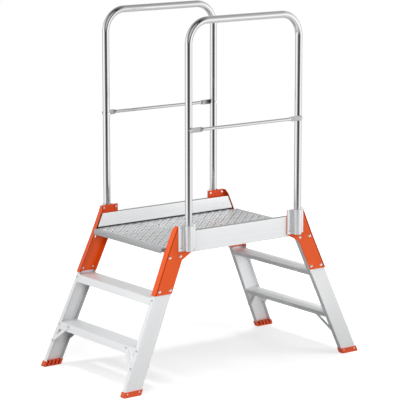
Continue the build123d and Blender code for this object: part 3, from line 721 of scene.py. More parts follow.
def cross_bar(outline: Array, low: float, high: float) -> Skin:
    """Carry an outline across the platform.

    Args:
        outline: closed outline in X and Z, (count, 2).
        low: Y of the first end.
        high: Y of the other end.

    Returns:
        The bar's surface.
    """
    return Skin(lift(*extrusion(outline, low, high))[..., [0, 2, 1]])


@dataclass
class Leg:
    """Line of the far right leg, read from its stile's box."""

    lean: float = 23.8
    web: float = 89.0
    flange: float = 26.0
    run: float = field(init=False)
    splay: float = field(init=False)
    low: Array = field(init=False)
    high: Array = field(init=False)

    def __post_init__(self) -> None:
        """Read the stile's box and work out its slopes."""
        self.low, self.high = box_mm("far_right_stile")
        self.run = math.tan(math.radians(self.lean))
        rise = self.high[2] - self.low[2]
        self.splay = (self.high[1] - self.low[1] - self.flange) / rise

    @property
    def stretch(self) -> float:
        """How much longer a level line is than one square to the leaning face."""
        return math.hypot(1, self.run)

    @property
    def web_run(self) -> float:
        """Level depth of the leg from front to back."""
        return self.web * self.stretch

    def front_x(self, height: Any) -> Any:
        """X of the front face at a height."""
        return self.high[0] - self.run * (height - self.low[2])

    def back_x(self, height: Any) -> Any:
        """X of the back face at a height."""
        return self.front_x(height) - self.web_run

    def web_y(self, height: Any) -> Any:
        """Y of the outer web face at a height."""
        return self.high[1] - self.splay * (height - self.low[2])

    def bar(self, outline: Array, low: float, high: float) -> Skin:
        """Carry a level outline up along the leg.

        A point of the outline moves with the front outer edge: back by the lean and in by the splay
        for each millimetre of height.

        Args:
            outline: closed outline about the front outer edge.
            low: height of the lower end.
            high: height of the upper end.

        Returns:
            The bar's surface.
        """
        points = lift(*extrusion(outline, low, high))
        points[..., 0] += self.front_x(points[..., 2])
        points[..., 1] += self.web_y(points[..., 2])
        return Skin(points)


@dataclass
class Guardrail:
    """Lift-out guardrail on one side: a bent tube, a knee rail, its bolts and the post plugs."""

    side: Side
    bend: float = 110.0
    bend_rows: int = 17
    sides_round: int = 40
    knee_tube: float = 16.0
    knee_thick: float = 4.0
    knee_flat: float = 62.0
    knee_taper: float = 28.0
    knee_rows: int = 9
    knee_sides: int = 32
    knee_squareness: float = 4.0
    knee_least: float = 0.05

    @property
    def body(self) -> str:
        """Body that carries the guardrail."""
        return f"{self.side.label}_guardrail"

    def node(self, name: str) -> str:
        """Name of one of its nodes."""
        return f"{self.side.label}_{name}"

    def hoop(self) -> Skin:
        """Round tube carried up one post, round two bends and down the other.

        The centre line is straight, then a quarter circle, then straight again; each section is a
        circle in the plane of the platform's Y and the normal of the line.

        Returns:
            The tube's surface.
        """
        low, high = box_mm(self.node("guardrail_hoop"))
        radius = (high[1] - low[1]) / 2
        middle_y = (high[1] + low[1]) / 2
        reach = high[0] - radius
        top = high[2] - radius
        turn = np.linspace(0, np.pi / 2, self.bend_rows)
        along = -reach + self.bend * (1 - np.cos(turn))
        rise = np.stack([along, top - self.bend * (1 - np.sin(turn))], axis=1)
        fall = rise[::-1] * np.array([-1, 1])
        line = np.concatenate([[[-reach, low[2]]], rise, fall, [[reach, low[2]]]])
        lean = np.concatenate([[0], turn, np.pi - turn[::-1], [np.pi]])
        normal = np.stack([-np.cos(lean), np.sin(lean)], axis=1)
        around = np.linspace(0, 2 * np.pi, self.sides_round, endpoint=False)
        x = line[:, :1] + radius * np.cos(around) * normal[:, :1]
        z = line[:, 1:] + radius * np.cos(around) * normal[:, 1:]
        y = middle_y + radius * np.broadcast_to(np.sin(around), x.shape)
        return Skin(np.stack([x, y, z], axis=-1))

    def knee_rail(self) -> Skin:
        """Slim tube pressed flat at both ends.

        A section is a superellipse: a circle along the tube, eased over the taper into a thin,
        tall, squarer one, whose height runs out along a half circle at the tip.

        Returns:
            The rail's surface.
        """
        low, high = box_mm(self.node("knee_rail"))
        tall = (high[2] - low[2]) / 2
        round_half = self.knee_tube / 2
        flat_half = self.knee_thick / 2
        post_low, post_high = box_mm(self.node("guardrail_hoop"))
        middle_y = post_high[1] + flat_half if self.side is Side.FAR else post_low[1] - flat_half
        end = high[0]
        tip = end - tall + tall * np.sin(np.linspace(0, np.pi / 2, self.knee_rows))
        flat_end = end - self.knee_flat
        taper = np.linspace(flat_end - self.knee_taper, flat_end, self.knee_rows)
        half_line = np.concatenate([taper, tip])
        line = np.concatenate([-half_line[::-1], half_line])
        away = end - np.abs(line)
        press = smooth((self.knee_flat + self.knee_taper - away) / self.knee_taper)
        thick = round_half + (flat_half - round_half) * press
        height = round_half + (tall - round_half) * press
        run_out = np.clip(1 - away / tall, 0, 1)
        height = np.maximum(height * np.sqrt(1 - run_out**2), self.knee_least)
        power = 2 / (2 + self.knee_squareness * press)
        around = np.linspace(0, 2 * np.pi, self.knee_sides, endpoint=False)
        wide = np.sign(np.cos(around)) * np.abs(np.cos(around)) ** power[:, None]
        up = np.sign(np.sin(around)) * np.abs(np.sin(around)) ** power[:, None]
        x = np.broadcast_to(line[:, None], wide.shape)
        y = middle_y + thick[:, None] * wide
        z = (low[2] + high[2]) / 2 + height[:, None] * up
        rows = np.arange(len(line) - 1)
        dull = self.knee_flat + self.knee_taper / 2
        pressed = tuple(rows[np.minimum(away[:-1], away[1:]) < dull])
        return Skin(np.stack([x, y, z], axis=-1), cut_rows=pressed)

    def build(self) -> None:
        """Make and dress the guardrail's pieces."""
        body = self.body
        build_piece(self.node("guardrail_hoop"), [self.hoop()], TUBE, body=body, sharp=60)
        rail = [self.knee_rail()]
        dull = (PRESSED,)
        build_piece(self.node("knee_rail"), rail, TUBE, body=body, sharp=50, cut_finishes=dull)
        weld_node(self.node("post_plugs"), PLUG, body)
        weld_node(self.node("knee_rail_bolts"), ZINC, body)


@dataclass
class Ladder:
    """Ladder at one end: stiles, liners and feet on both sides, two steps and the braces."""

    leg: Leg
    end: End
    wall: float = 3.0
    stile_corner: float = 4.0
    liner_wall: float = 2.5
    liner_hem: float = 1.5
    liner_gap: float = 0.3
    liner_corner: float = 2.0
    hem_edge: float = 0.6
    hem_inside: float = 0.3
    inside_edge: float = 1.0
    step_front_drop: float = 35.0
    step_back_drop: float = 24.0
    step_nose: float = 6.0
    step_back_edge: float = 1.5
    step_clearance: float = 0.4
    tongue_lap: float = 20.0
    tongue_drop: float = 0.05
    tongue_nose: float = 1.0
    brace_width: float = 20.0
    brace_thick: float = 3.0
    brace_edge: float = 0.6
    brace_points: int = 13
    brace_reach: float = 254.0
    brace_foot: float = 131.0
    slot_depth: float = 15.0
    slot_margin: float = 8.0
    slot_edge: float = 0.3
    lip_drop: float = 1.0
    rivet_drop: float = 12.0
    lower_step: float = field(init=False)

    def __post_init__(self) -> None:
        """Read the lower step's height."""
        self.lower_step = float(box_mm(f"{self.end.label}_lower_step")[1][2])

    def stile(self) -> Skin:
        """C-section leg, open to the middle of the ladder and carried up along the leg's line.

        A row of points is added where the foot ends, because the foot's lip covers the leg below
        it. The back flange is marked for painted shade, with a greyer skin.

        Returns:
            The leg's surface.
        """
        leg = self.leg
        back = -leg.web_run
        edge = -leg.flange
        side = self.wall * leg.stretch
        corners = np.array(
            [
                (back, edge), (back, 0), (0, 0), (0, edge), (-side, edge), (-side, -self.wall),
                (back + side, -self.wall), (back + side, edge),
            ]
        )
        fold = self.stile_corner
        inside = fold - self.wall
        small = SMALL_EDGE
        outline = rounded_outline(corners, [small, fold, fold, small, small, inside, inside, small])
        skin = leg.bar(outline, leg.low[2], leg.high[2])
        lip = box_mm("far_right_foot")[1][2] - self.lip_drop
        below, above = skin.points[:, :EASE_ROWS], skin.points[:, EASE_ROWS:]
        lower, upper = below[:, -1:], above[:, :1]
        share = (lip - lower[..., 2:]) / (upper[..., 2:] - lower[..., 2:])
        seam = lower + share * (upper - lower)
        skin.points = np.concatenate([below, seam, above], axis=1)
        skin.cut_rows = tuple(range(EASE_ROWS))
        skin.shaded_columns = corner_columns(outline, first=6, last=9)
        return skin

    def liner(self) -> Skin:
        """Smaller C-section inside the stile, behind the bracket, hemmed over the stile's edges.

        Returns:
            The liner's surface.
        """
        leg = self.leg
        low, high = box_mm("far_right_liner")
        gap = self.liner_gap
        side = self.liner_wall * leg.stretch
        front = -self.wall * leg.stretch - gap
        back = -leg.web_run - front
        edge = -leg.flange - gap
        hem = edge - self.liner_hem
        start = -self.wall
        corners = np.array(
            [
                (gap - leg.web_run, hem), (gap - leg.web_run, edge), (back, edge), (back, start),
                (front, start), (front, edge), (-gap, edge), (-gap, hem),
                (front - side, hem), (front - side, start - self.liner_wall),
                (back + side, start - self.liner_wall), (back + side, hem),
            ]
        )
        hem_radii = [self.hem_edge, self.hem_edge, self.hem_inside]
        outside = [*hem_radii, self.liner_corner, self.liner_corner, *hem_radii[::-1]]
        inside = [SMALL_EDGE, self.inside_edge, self.inside_edge, SMALL_EDGE]
        return leg.bar(rounded_outline(corners, outside + inside), low[2], high[2])

    def step_outline(self, height: float, inset: float, front_drop: float, nose: float) -> Array:
        """Outline of a step in X and Z: a level top and two skirts in the faces of the leg.

        Args:
            height: height of the top.
            inset: how far inside the leg's faces the skirts lie.
            front_drop: depth of the front skirt.
            nose: radius of the front upper edge.

        Returns:
            The rounded outline.
        """
        leg = self.leg
        shift = inset * leg.stretch
        wall = self.wall * leg.stretch
        under = height - self.wall
        front_low = height - front_drop
        back_low = height - self.step_back_drop
        front = np.array([height, front_low, front_low, under])
        back = np.array([under, back_low, back_low, height])
        depth = shift + np.array([0, 0, wall, wall])
        x = np.concatenate([leg.front_x(front) - depth, leg.back_x(back) + depth[::-1]])
        corners = np.stack([x, np.concatenate([front, back])], axis=1)
        small, fold = SMALL_EDGE, self.inside_edge
        under_nose = max(nose - self.wall, fold)
        radii = [nose, small, small, under_nose, fold, small, small, self.step_back_edge]
        return rounded_outline(corners, radii)

    def step(self, height: float) -> list[Skin]:
        """Step between the stiles and its two end tongues inside them.

        Args:
            height: height of the step's top.

        Returns:
            The surfaces of the channel and the tongues.
        """
        half = self.leg.web_y(height) - self.leg.flange - self.step_clearance
        reach = self.leg.web_y(height) - self.wall - self.step_clearance
        body = self.step_outline(height, 0, self.step_front_drop, self.step_nose)
        inset = self.wall + self.step_clearance
        tongue = self.step_outline(
            height - self.tongue_drop, inset, self.step_back_drop, self.tongue_nose
        )
        root = half - self.tongue_lap
        channel = cross_bar(body, -half, half)
        # The back skirt carries painted shade.
        channel.cut_columns = corner_columns(body, first=6, last=7)
        return [channel, cross_bar(tongue, root, reach), cross_bar(tongue, -reach, -root)]

    def brace(self, across: float, facing: int) -> Skin:
        """Flat strip with half round ends, from the stile's flange to the lower step's skirt.

        The outline is two half circles about the ends, carried through the strip's thickness along
        the normal of the leg's face.

        Args:
            across: how far in front of the leg's front face the strip lies.
            facing: 1 for a strip on the front, -1 for one on the back.

        Returns:
            The strip's surface.
        """
        leg = self.leg
        upper = self.lower_step - self.rivet_drop
        foot_y = leg.web_y(self.brace_foot) - leg.flange / 2
        places = [(foot_y, self.brace_foot), (self.brace_reach, upper)]
        ends = [np.array([leg.front_x(z) + across * leg.stretch, y, z]) for y, z in places]
        normal = unit(np.array([1.0, 0.0, leg.run])) * facing
        along = unit(ends[1] - ends[0])
        side = np.cross(normal, along)
        turn = np.linspace(-np.pi / 2, np.pi / 2, self.brace_points)
        length = np.linalg.norm(ends[1] - ends[0])
        cap = np.stack([np.cos(turn), np.sin(turn)], axis=1) * self.brace_width / 2
        outline = np.concatenate([cap + np.array([length, 0]), -cap])
        rows, depth = extrusion(outline, 0, self.brace_thick, self.brace_edge)
        flat = ends[0] + rows[..., :1] * along + rows[..., 1:] * side
        return Skin(flat + depth[:, None, None] * normal)

    def foot(self, corner: Corner) -> None:
        """Copy a foot and darken its slots.

        A face is in a slot when its middle lies between the ends of the core, under its top, and no
        deeper behind the leg's open side than the slots are. Those faces carry painted shade.

        Args:
            corner: corner of the foot.
        """
        mesh = weld_node(f"{corner.label}_foot", PLASTIC, sharp=30).data
        middles = np.empty(3 * len(mesh.polygons), dtype=np.float32)
        mesh.polygons.foreach_get("center", middles)
        x, y, z = (middles.reshape(-1, 3) / MM * np.array([*corner.signs, 1])).T
        behind = self.leg.front_x(z) - x
        deep = y - self.leg.web_y(z) + self.leg.flange
        along = (behind > self.slot_margin) & (behind < self.leg.web_run - self.slot_margin)
        inside = (deep > self.slot_edge) & (deep < self.slot_depth + self.slot_edge)
        low = z < box_mm("far_right_foot")[1][2] - self.slot_edge
        mesh.materials.append(SLOT_SHADE.material())
        mesh.polygons.foreach_set("material_index", (along & inside & low).astype(np.int32))

    def build(self) -> None:
        """Make and dress the ladder's pieces."""
        for side in Side:
            corner = Corner(side, self.end)
            for name, skin, finish, cut_finishes in (
                ("stile", self.stile(), EXTRUSION, (PLASTIC, BACK_SHADE)),
                ("liner", self.liner(), COAT, ()),
                ("front_brace", self.brace(0, 1), EXTRUSION, ()),
                # The back braces carry painted shade all over.
                ("back_brace", self.brace(-self.leg.web, -1), BACK_SHADE, ()),
            ):
                node = f"{corner.label}_{name}"
                build_piece(node, [skin], finish, corner.signs, cut_finishes=cut_finishes)
            self.foot(corner)
        for name in ("lower_step", "upper_step"):
            node = f"{self.end.label}_{name}"
            height = float(box_mm(node)[1][2])
            signs = (self.end.value, 1)
            build_piece(node, self.step(height), TREAD, signs, cut_finishes=(BACK_SHADE,))


@dataclass
class CornerJoint:
    """Orange folded bracket at a corner and the socket that clamps the post to it."""

    leg: Leg
    corner: Corner
    thick: float = 4.0
    flange: float = 31.0
    cut_width: float = 13.0
    cut_height: float = 22.0
    cut_lead: float = 0.5
    back_margin: float = 0.5
    back_height: float = 620.0
    back_edge: float = 0.8
    free_edge: float = 0.6
    top_radius: float = 3.0
    top_rows: int = 8
    top_drop: float = 1.2
    bend_half: float = 3.0
    bend_rows: int = 5
    fold_radius: float = 5.0
    fold_margin: float = 0.6
    crease_width: float = 4.0
    crease_depth: float = 2.2
    crease_slope: float = 0.3
    crease_edge: float = 0.2
    post_radius: float = 17.5
    post_gap: float = 0.5
    socket_wall: float = 4.0
    socket_flange: float = 5.0
    socket_floor: float = 3.0
    socket_fillet: float = 3.0
    socket_edge: float = 1.5
    socket_end: float = 0.3
    floor_lap: float = 0.5
    ring_points: int = 21
    ring_edge: float = 0.4
    socket_steps: int = 4

    def bracket(self) -> Skin:
        """Folded plate lofted from level L-shaped sections.

        The web stands upright above the crease and follows the splayed leg below it. Its back edge
        runs along the leg, then out to the socket's edge; its front follows the leg up to a rounded
        top corner. The flange's inner top corner is cut off along a slope. A shallow crease runs up
        the web beside the fold.

        Returns:
            The plate's surface.
        """
        leg = self.leg
        low, high = box_mm("far_right_bracket")
        rail_low, rail_high = box_mm("far_side_rail")
        socket_low, _ = box_mm("far_right_socket")
        top = high[2] - self.top_drop
        run = self.thick * leg.stretch
        arc_z = top - self.top_radius
        turn = np.linspace(math.radians(leg.lean), np.pi / 2, self.top_rows)
        arc_heights = arc_z + self.top_radius * np.sin(turn)
        cut_start = top - self.cut_height
        bend = rail_low[2] + np.linspace(-self.bend_half, self.bend_half, self.bend_rows)
        single = [low[2], self.back_height, socket_low[2], cut_start - self.cut_lead, cut_start]
        heights = np.sort(np.concatenate([single, bend, arc_heights]))
        upright = socket_low[0] - self.back_margin
        back = np.interp(
            heights,
            [low[2], self.back_height, socket_low[2], top],
            [leg.back_x(low[2]), leg.back_x(self.back_height), upright, upright],
        )
        arc_x = leg.front_x(arc_z) + run - self.top_radius * leg.stretch
        rise = np.clip((heights - arc_z) / self.top_radius, -1, 1)
        line = leg.front_x(heights) + run
        arc = arc_x + self.top_radius * np.sqrt(1 - rise**2)
        front = np.where(heights > arc_heights[0], arc, line)
        inner = np.maximum(rail_high[1], leg.web_y(heights))
        outer = inner + self.thick
        cut = np.clip((heights - cut_start) / self.cut_height, 0, 1) * self.cut_width
        depth = self.flange - self.thick - cut
        free = inner - depth
        crease_end = front - self.fold_radius * leg.stretch
        crease_start = crease_end - self.crease_width
        floor = outer - self.crease_depth
        slope = self.crease_slope
        creases = [crease_start, crease_start + slope, crease_end - slope, crease_end]
        x = np.stack([back, back, *creases, front, front, front - run, front - run], axis=1)
        y = np.stack([inner, outer, outer, floor, floor, outer, outer, free, free, inner], axis=1)
        corners = np.stack([x, y], axis=-1)
        radii = [self.back_edge] * 2 + [self.crease_edge] * 4
        radii += [self.fold_radius - self.fold_margin, self.free_edge, self.free_edge]
        outline = rounded_outline(corners, [*radii, self.fold_radius - self.thick])
        # The crease without the first and last piece of its arcs, then the flange's free edge:
        # these carry painted shade. The inside runs on from there to the end of the outline, with
        # painted shade too.
        points = ARC_STEPS + 1
        crease = range(2 * points + 1, 6 * points - 2)
        groove = (*crease, *corner_columns(outline, first=7, last=8))
        inside = tuple(range(8 * points + points // 2, outline.shape[1]))
        return Skin(lift(outline, heights), cut_columns=groove, shaded_columns=inside)

    def socket(self) -> list[Skin]:
        """Saddle round the post with two flanges, and the floor that closes it.

        The section is a half ring about the post with straight sides down to the flanges.

        Returns:
            The surfaces of the saddle and of the floor.
        """
        low, high = box_mm("far_right_socket")
        post_x = (low[0] + high[0]) / 2
        half = (high[0] - low[0]) / 2
        bore = self.post_radius + self.post_gap
        wide = bore + self.socket_wall
        post_y = low[1] + bore
        start = -bore
        shelf = start + self.socket_flange
        turn = np.linspace(np.pi, 0, self.ring_points)
        ring = np.stack([np.cos(turn), np.sin(turn)], axis=1)
        left = np.array([(-half, start), (-half, shelf), (-wide, shelf)])
        outer = np.concatenate([left, wide * ring, left[::-1] * np.array([-1, 1])])
        inner = np.concatenate([[(bore, start)], bore * ring[::-1], [(-bore, start)]])
        side = [SMALL_EDGE, self.socket_edge, self.socket_fillet]
        outer_radii = [*side, *[self.ring_edge] * self.ring_points, *side[::-1]]
        radii = [*outer_radii, *[self.ring_edge] * len(inner)]
        saddle = rounded_outline(np.concatenate([outer, inner]), radii, self.socket_steps)
        plate = rounded_outline(outer, outer_radii, self.socket_steps)
        floor = low[2] + self.socket_floor
        skins = []
        for outline, bottom, top in (
            (saddle, floor - self.floor_lap, high[2]), (plate, low[2], floor)
        ):
            points = lift(*extrusion(outline, bottom, top, self.socket_end))
            skins.append(Skin(points + np.array([post_x, post_y, 0])))
        return skins

    def build(self) -> None:
        """Make and dress the bracket and the socket."""
        label, signs = self.corner.label, self.corner.signs
        plate = [self.bracket()]
        build_piece(f"{label}_bracket", plate, COAT, signs, cut_finishes=(CREASE_SHADE, COAT_SHADE))
        build_piece(f"{label}_socket", self.socket(), SADDLE, signs)


@dataclass
class Deck:
    """Platform: side rails, perforated planks on joists, and the plain end nosings."""

    leg: Leg
    sheet: float = 3.0
    pitch_along: float = 25.0
    pitch_across: float = 24.0
    columns: int = 11
    rows: int = 25
    drain_radius: float = 6.5
    button_radius: float = 6.25
    button_crown: float = 4.25
    button_bore: float = 3.3
    button_height: float = 1.9
    button_shoulder: float = 0.4
    button_rises: tuple[float, float, float] = (0.6, 0.95, 0.8)
    bore_edge: float = 0.5
    rim_edge: float = 0.6
    rail_wall: float = 3.0
    rail_setback: float = 6.0
    rail_corner: float = 2.0
    rail_inside: float = 1.0
    rail_steps: int = 4
    toe_slot: float = 6.5
    ledge_thick: float = 3.0
    nosing_wall: float = 3.0
    nosing_radius: float = 8.0
    nosing_edge: float = 0.6
    nosing_steps: int = 6
    points_per_side: int = 3

    @property
    def top(self) -> float:
        """Height of the planks' upper face, under the buttons."""
        return float(box_mm("middle_plank")[0][2] + self.sheet)

    def rail(self) -> Skin:
        """Side rail: a web with a ledge, hooked over above the deck as a toe board.

        The section is carried along X to ends that slant with the leg: each point stops a set
        distance behind the leg's front face at its own height.

        Returns:
            The rail's surface.
        """
        low, high = box_mm("far_side_rail")
        wall = self.rail_wall
        inside = high[1] - wall
        toe = box_mm("far_right_bracket")[0][1]
        slot = self.top + self.toe_slot
        ledge = low[2] + self.ledge_thick
        corners = np.array(
            [
                (high[1], low[2]), (high[1], high[2]), (toe, high[2]), (toe, slot),
                (toe + wall, slot), (toe + wall, high[2] - wall), (inside, high[2] - wall),
                (inside, ledge), (low[1], ledge), (low[1], low[2]),
            ]
        )
        small = [SMALL_EDGE] * 2
        radii = [self.rail_corner] * 3 + small + [self.rail_inside] * 3 + small
        outline = rounded_outline(corners, radii, self.rail_steps)
        reach = self.leg.front_x(outline[:, 1]) - self.rail_setback
        ends = np.stack([-reach, reach])
        section = np.broadcast_to(outline, (2, *outline.shape))
        rubbed = corner_columns(outline, first=1, last=2, steps=self.rail_steps)
        # The inside of the hook, from the end of its lip's arc to the start of the ledge's, which
        # carries painted shade.
        arc = self.rail_steps + 1
        hollow = tuple(range(4 * arc - 1, 7 * arc + 1))
        points = np.concatenate([ends[..., None], section], axis=-1)
        return Skin(points, cut_columns=rubbed, shaded_columns=hollow)

    def nosing(self) -> Skin:
        """Channel with a rounded front edge, carried across the platform.

        Returns:
            The channel's surface.
        """
        low, high = box_mm("right_nosing")
        wall = self.nosing_wall
        corners = np.array(
            [
                (low[0], low[2]), (low[0], high[2]), (high[0], high[2]), (high[0], low[2]),
                (high[0] - wall, low[2]), (high[0] - wall, high[2] - wall),
                (low[0] + wall, high[2] - wall), (low[0] + wall, low[2]),
            ]
        )
        edge, small = self.nosing_edge, SMALL_EDGE
        radii = [edge, edge, self.nosing_radius, small, small, wall, wall, small]
        return cross_bar(rounded_outline(corners, radii, self.nosing_steps), low[1], high[1])

    def block_edge(self, columns: int, rows: int) -> Array:
        """Points round a block of pattern cells, the same number to each cell, from one corner on.

        Args:
            columns: cells along X.
            rows: cells along Y.

        Returns:
            The points about the block's middle, (count, 2).
        """
        corners = np.array([(-1, -1), (1, -1), (1, 1), (-1, 1)]) / 2
        following = np.roll(corners, -1, axis=0)
        sides = []
        for corner, other, cells in zip(corners, following, (columns, rows, columns, rows)):
            count = cells * self.points_per_side
            share = np.arange(count)[:, None] / count
            sides.append(corner + share * (other - corner))
        size = np.array([columns * self.pitch_along, rows * self.pitch_across])
        return np.concatenate(sides) * size

    def tile(self, radii: Sequence[float], heights: Sequence[float]) -> Array:
        """One cell of the pattern: rings round its middle that open out to the cell's edge.

        Each ring lies on the directions of the edge points; the first and last rows are the edge
        itself, on the sheet's upper and lower face.

        Args:
            radii: radius of each ring, from the upper face to the lower.
            heights: height of each ring over the upper face.

        Returns:
            Points of the cell, (rows, columns, 3).
        """
        edge = self.block_edge(1, 1)
        rings = unit(edge) * np.array(radii)[:, None, None]
        flat = np.concatenate([edge[None], rings, edge[None]])
        return lift(flat, np.concatenate([[0.0], heights, [-self.sheet]]))

    def plank(self, node: str) -> list[Skin]:
        """Sheet with drain holes and raised pierced buttons in turn, like a chessboard.

        Cells are copied to the lattice's sites by adding the site to every point; a plain rim runs
        from the outermost cells to the plank's edge.

        Args:
            node: plank that gives the middle and the outer edge.

        Returns:
            The surfaces of the drain cells, the button cells and the rim.
        """
        low, high = box_mm(node)
        middle = (low + high) / 2
        column, row = np.meshgrid(np.arange(self.columns), np.arange(self.rows), indexing="ij")
        x = (column - (self.columns - 1) / 2) * self.pitch_along + middle[0]
        y = (row - (self.rows - 1) / 2) * self.pitch_across
        sites = np.stack([x, y, np.full_like(x, self.top)], axis=-1)
        even = (column + row) % 2 == 0
        hole = self.drain_radius
        drain = self.tile([hole + SMALL_EDGE, hole, hole], [0.0, -SMALL_EDGE, -self.sheet])
        flank, brow, lip = np.array(self.button_rises) * self.button_height
        flank_radius = (self.button_radius + self.button_crown) / 2 + self.button_shoulder
        bore = self.button_bore
        rings = [self.button_radius, flank_radius, self.button_crown, bore + self.bore_edge]
        rises = [0.0, flank, brow, self.button_height, lip, -self.sheet]
        button = self.tile([*rings, bore, bore], rises)
        skins = []
        for chosen, cell in ((even, drain), (~even, button)):
            copies = sites[chosen][:, None, None, :] + cell[None]
            # The last row of faces but one is the wall of the hole, which carries painted shade.
            skins.append(Skin(copies, capped=False, cut_rows=(len(cell) - 3,)))
        return [*skins, self.rim(low, high, middle)]

    def rim(self, low: Array, high: Array, middle: Array) -> Skin:
        """Plain border of a plank, round the cells and down over its edge.

        The inner line follows the outermost cells' edge points; the outer line is the same line
        pushed out to the plank's edge.

        Args:
            low: lowest corner of the plank.
            high: highest corner of the plank.
            middle: middle of the plank.

        Returns:
            The border's surface, whose last row lies on the lower face under the first.
        """
        inner = self.block_edge(self.columns, self.rows)
        reach = (high[:2] - low[:2]) / 2
        on_edge = np.isclose(np.abs(inner), inner.max(axis=0))
        outer = np.where(on_edge, np.sign(inner) * reach, inner)
        near = np.where(on_edge, np.sign(inner) * (reach - self.rim_edge), inner)
        flat = np.stack([inner, near, outer, outer, inner])
        z = self.top + np.array([0, 0, -self.rim_edge, -self.sheet, -self.sheet])
        return Skin(lift(flat + np.array([middle[0], 0.0]), z), capped=False)

    def build(self) -> None:
        """Make and dress the platform's pieces."""
        for side in Side:
            node, signs = f"{side.label}_side_rail", (1, side.value)
            build_piece(node, [self.rail()], EXTRUSION, signs, cut_finishes=(WORN, HOOK_SHADE))
        for end in End:
            build_piece(f"{end.label}_nosing", [self.nosing()], STRIP, (end.value, 1))
        for name in ("left_plank", "middle_plank", "right_plank"):
            build_piece(name, self.plank(name), SHEET, cut_finishes=(HOLE_SHADE,))
        for name in ("left_end_joist", "left_joist", "right_joist", "right_end_joist"):
            weld_node(name, EXTRUSION)


@dataclass
class Fasteners:
    """Bolts, rivets and screws of the frame, kept to the construction model's shapes."""

    groups: dict[str, Finish] = field(
        default_factory=lambda: {
            "bracket_bolts": ZINC,
            "socket_bolts": ZINC,
            "foot_screws": ZINC,
            "step_rivets": RIVET,
            "brace_rivets": RIVET,
            "deck_rivets": RIVET,
        }
    )

    def build(self) -> None:
        """Dress every group of fasteners."""
        for node, finish in self.groups.items():
            weld_node(node, finish, sharp=50)


def facing_away(direction: Vector) -> Euler:
    """Turn of a lamp or a camera that has a direction at its back."""
    return direction.to_track_quat("Z", "Y").to_euler()


@dataclass(frozen=True)
class Softbox:
    """Square lamp near the platform that metal doesn't mirror.

    Its spread is the angle that its grid lets out, in degrees.
    """

    name: str
    watts: float
    place: Point
    size: float
    aim: Point = (0.0, 0.1, 0.6)
    spread: float = 180.0

    def build(self) -> None:
        """Stand the lamp up and turn it to its aim."""
        light = bpy.data.lights.new(self.name, "AREA")
        light.energy = self.watts
        light.size = self.size
        light.spread = math.radians(self.spread)
        lamp = add_object(self.name, light)
        lamp.visible_glossy = False
        lamp.visible_camera = False
        lamp.location = self.place
        lamp.rotation_euler = facing_away(Vector(self.place) - Vector(self.aim))


@dataclass(frozen=True)
class DistantLamp:
    """Lamp far away, some degrees wide, that metal doesn't mirror."""

    name: str
    level: float
    source: Point
    width: float

    def build(self) -> None:
        """Hang the lamp where its light comes from."""
        light = bpy.data.lights.new(self.name, "SUN")
        light.energy = self.level
        light.angle = math.radians(self.width)
        lamp = add_object(self.name, light)
        lamp.visible_glossy = False
        lamp.rotation_euler = facing_away(Vector(self.source))


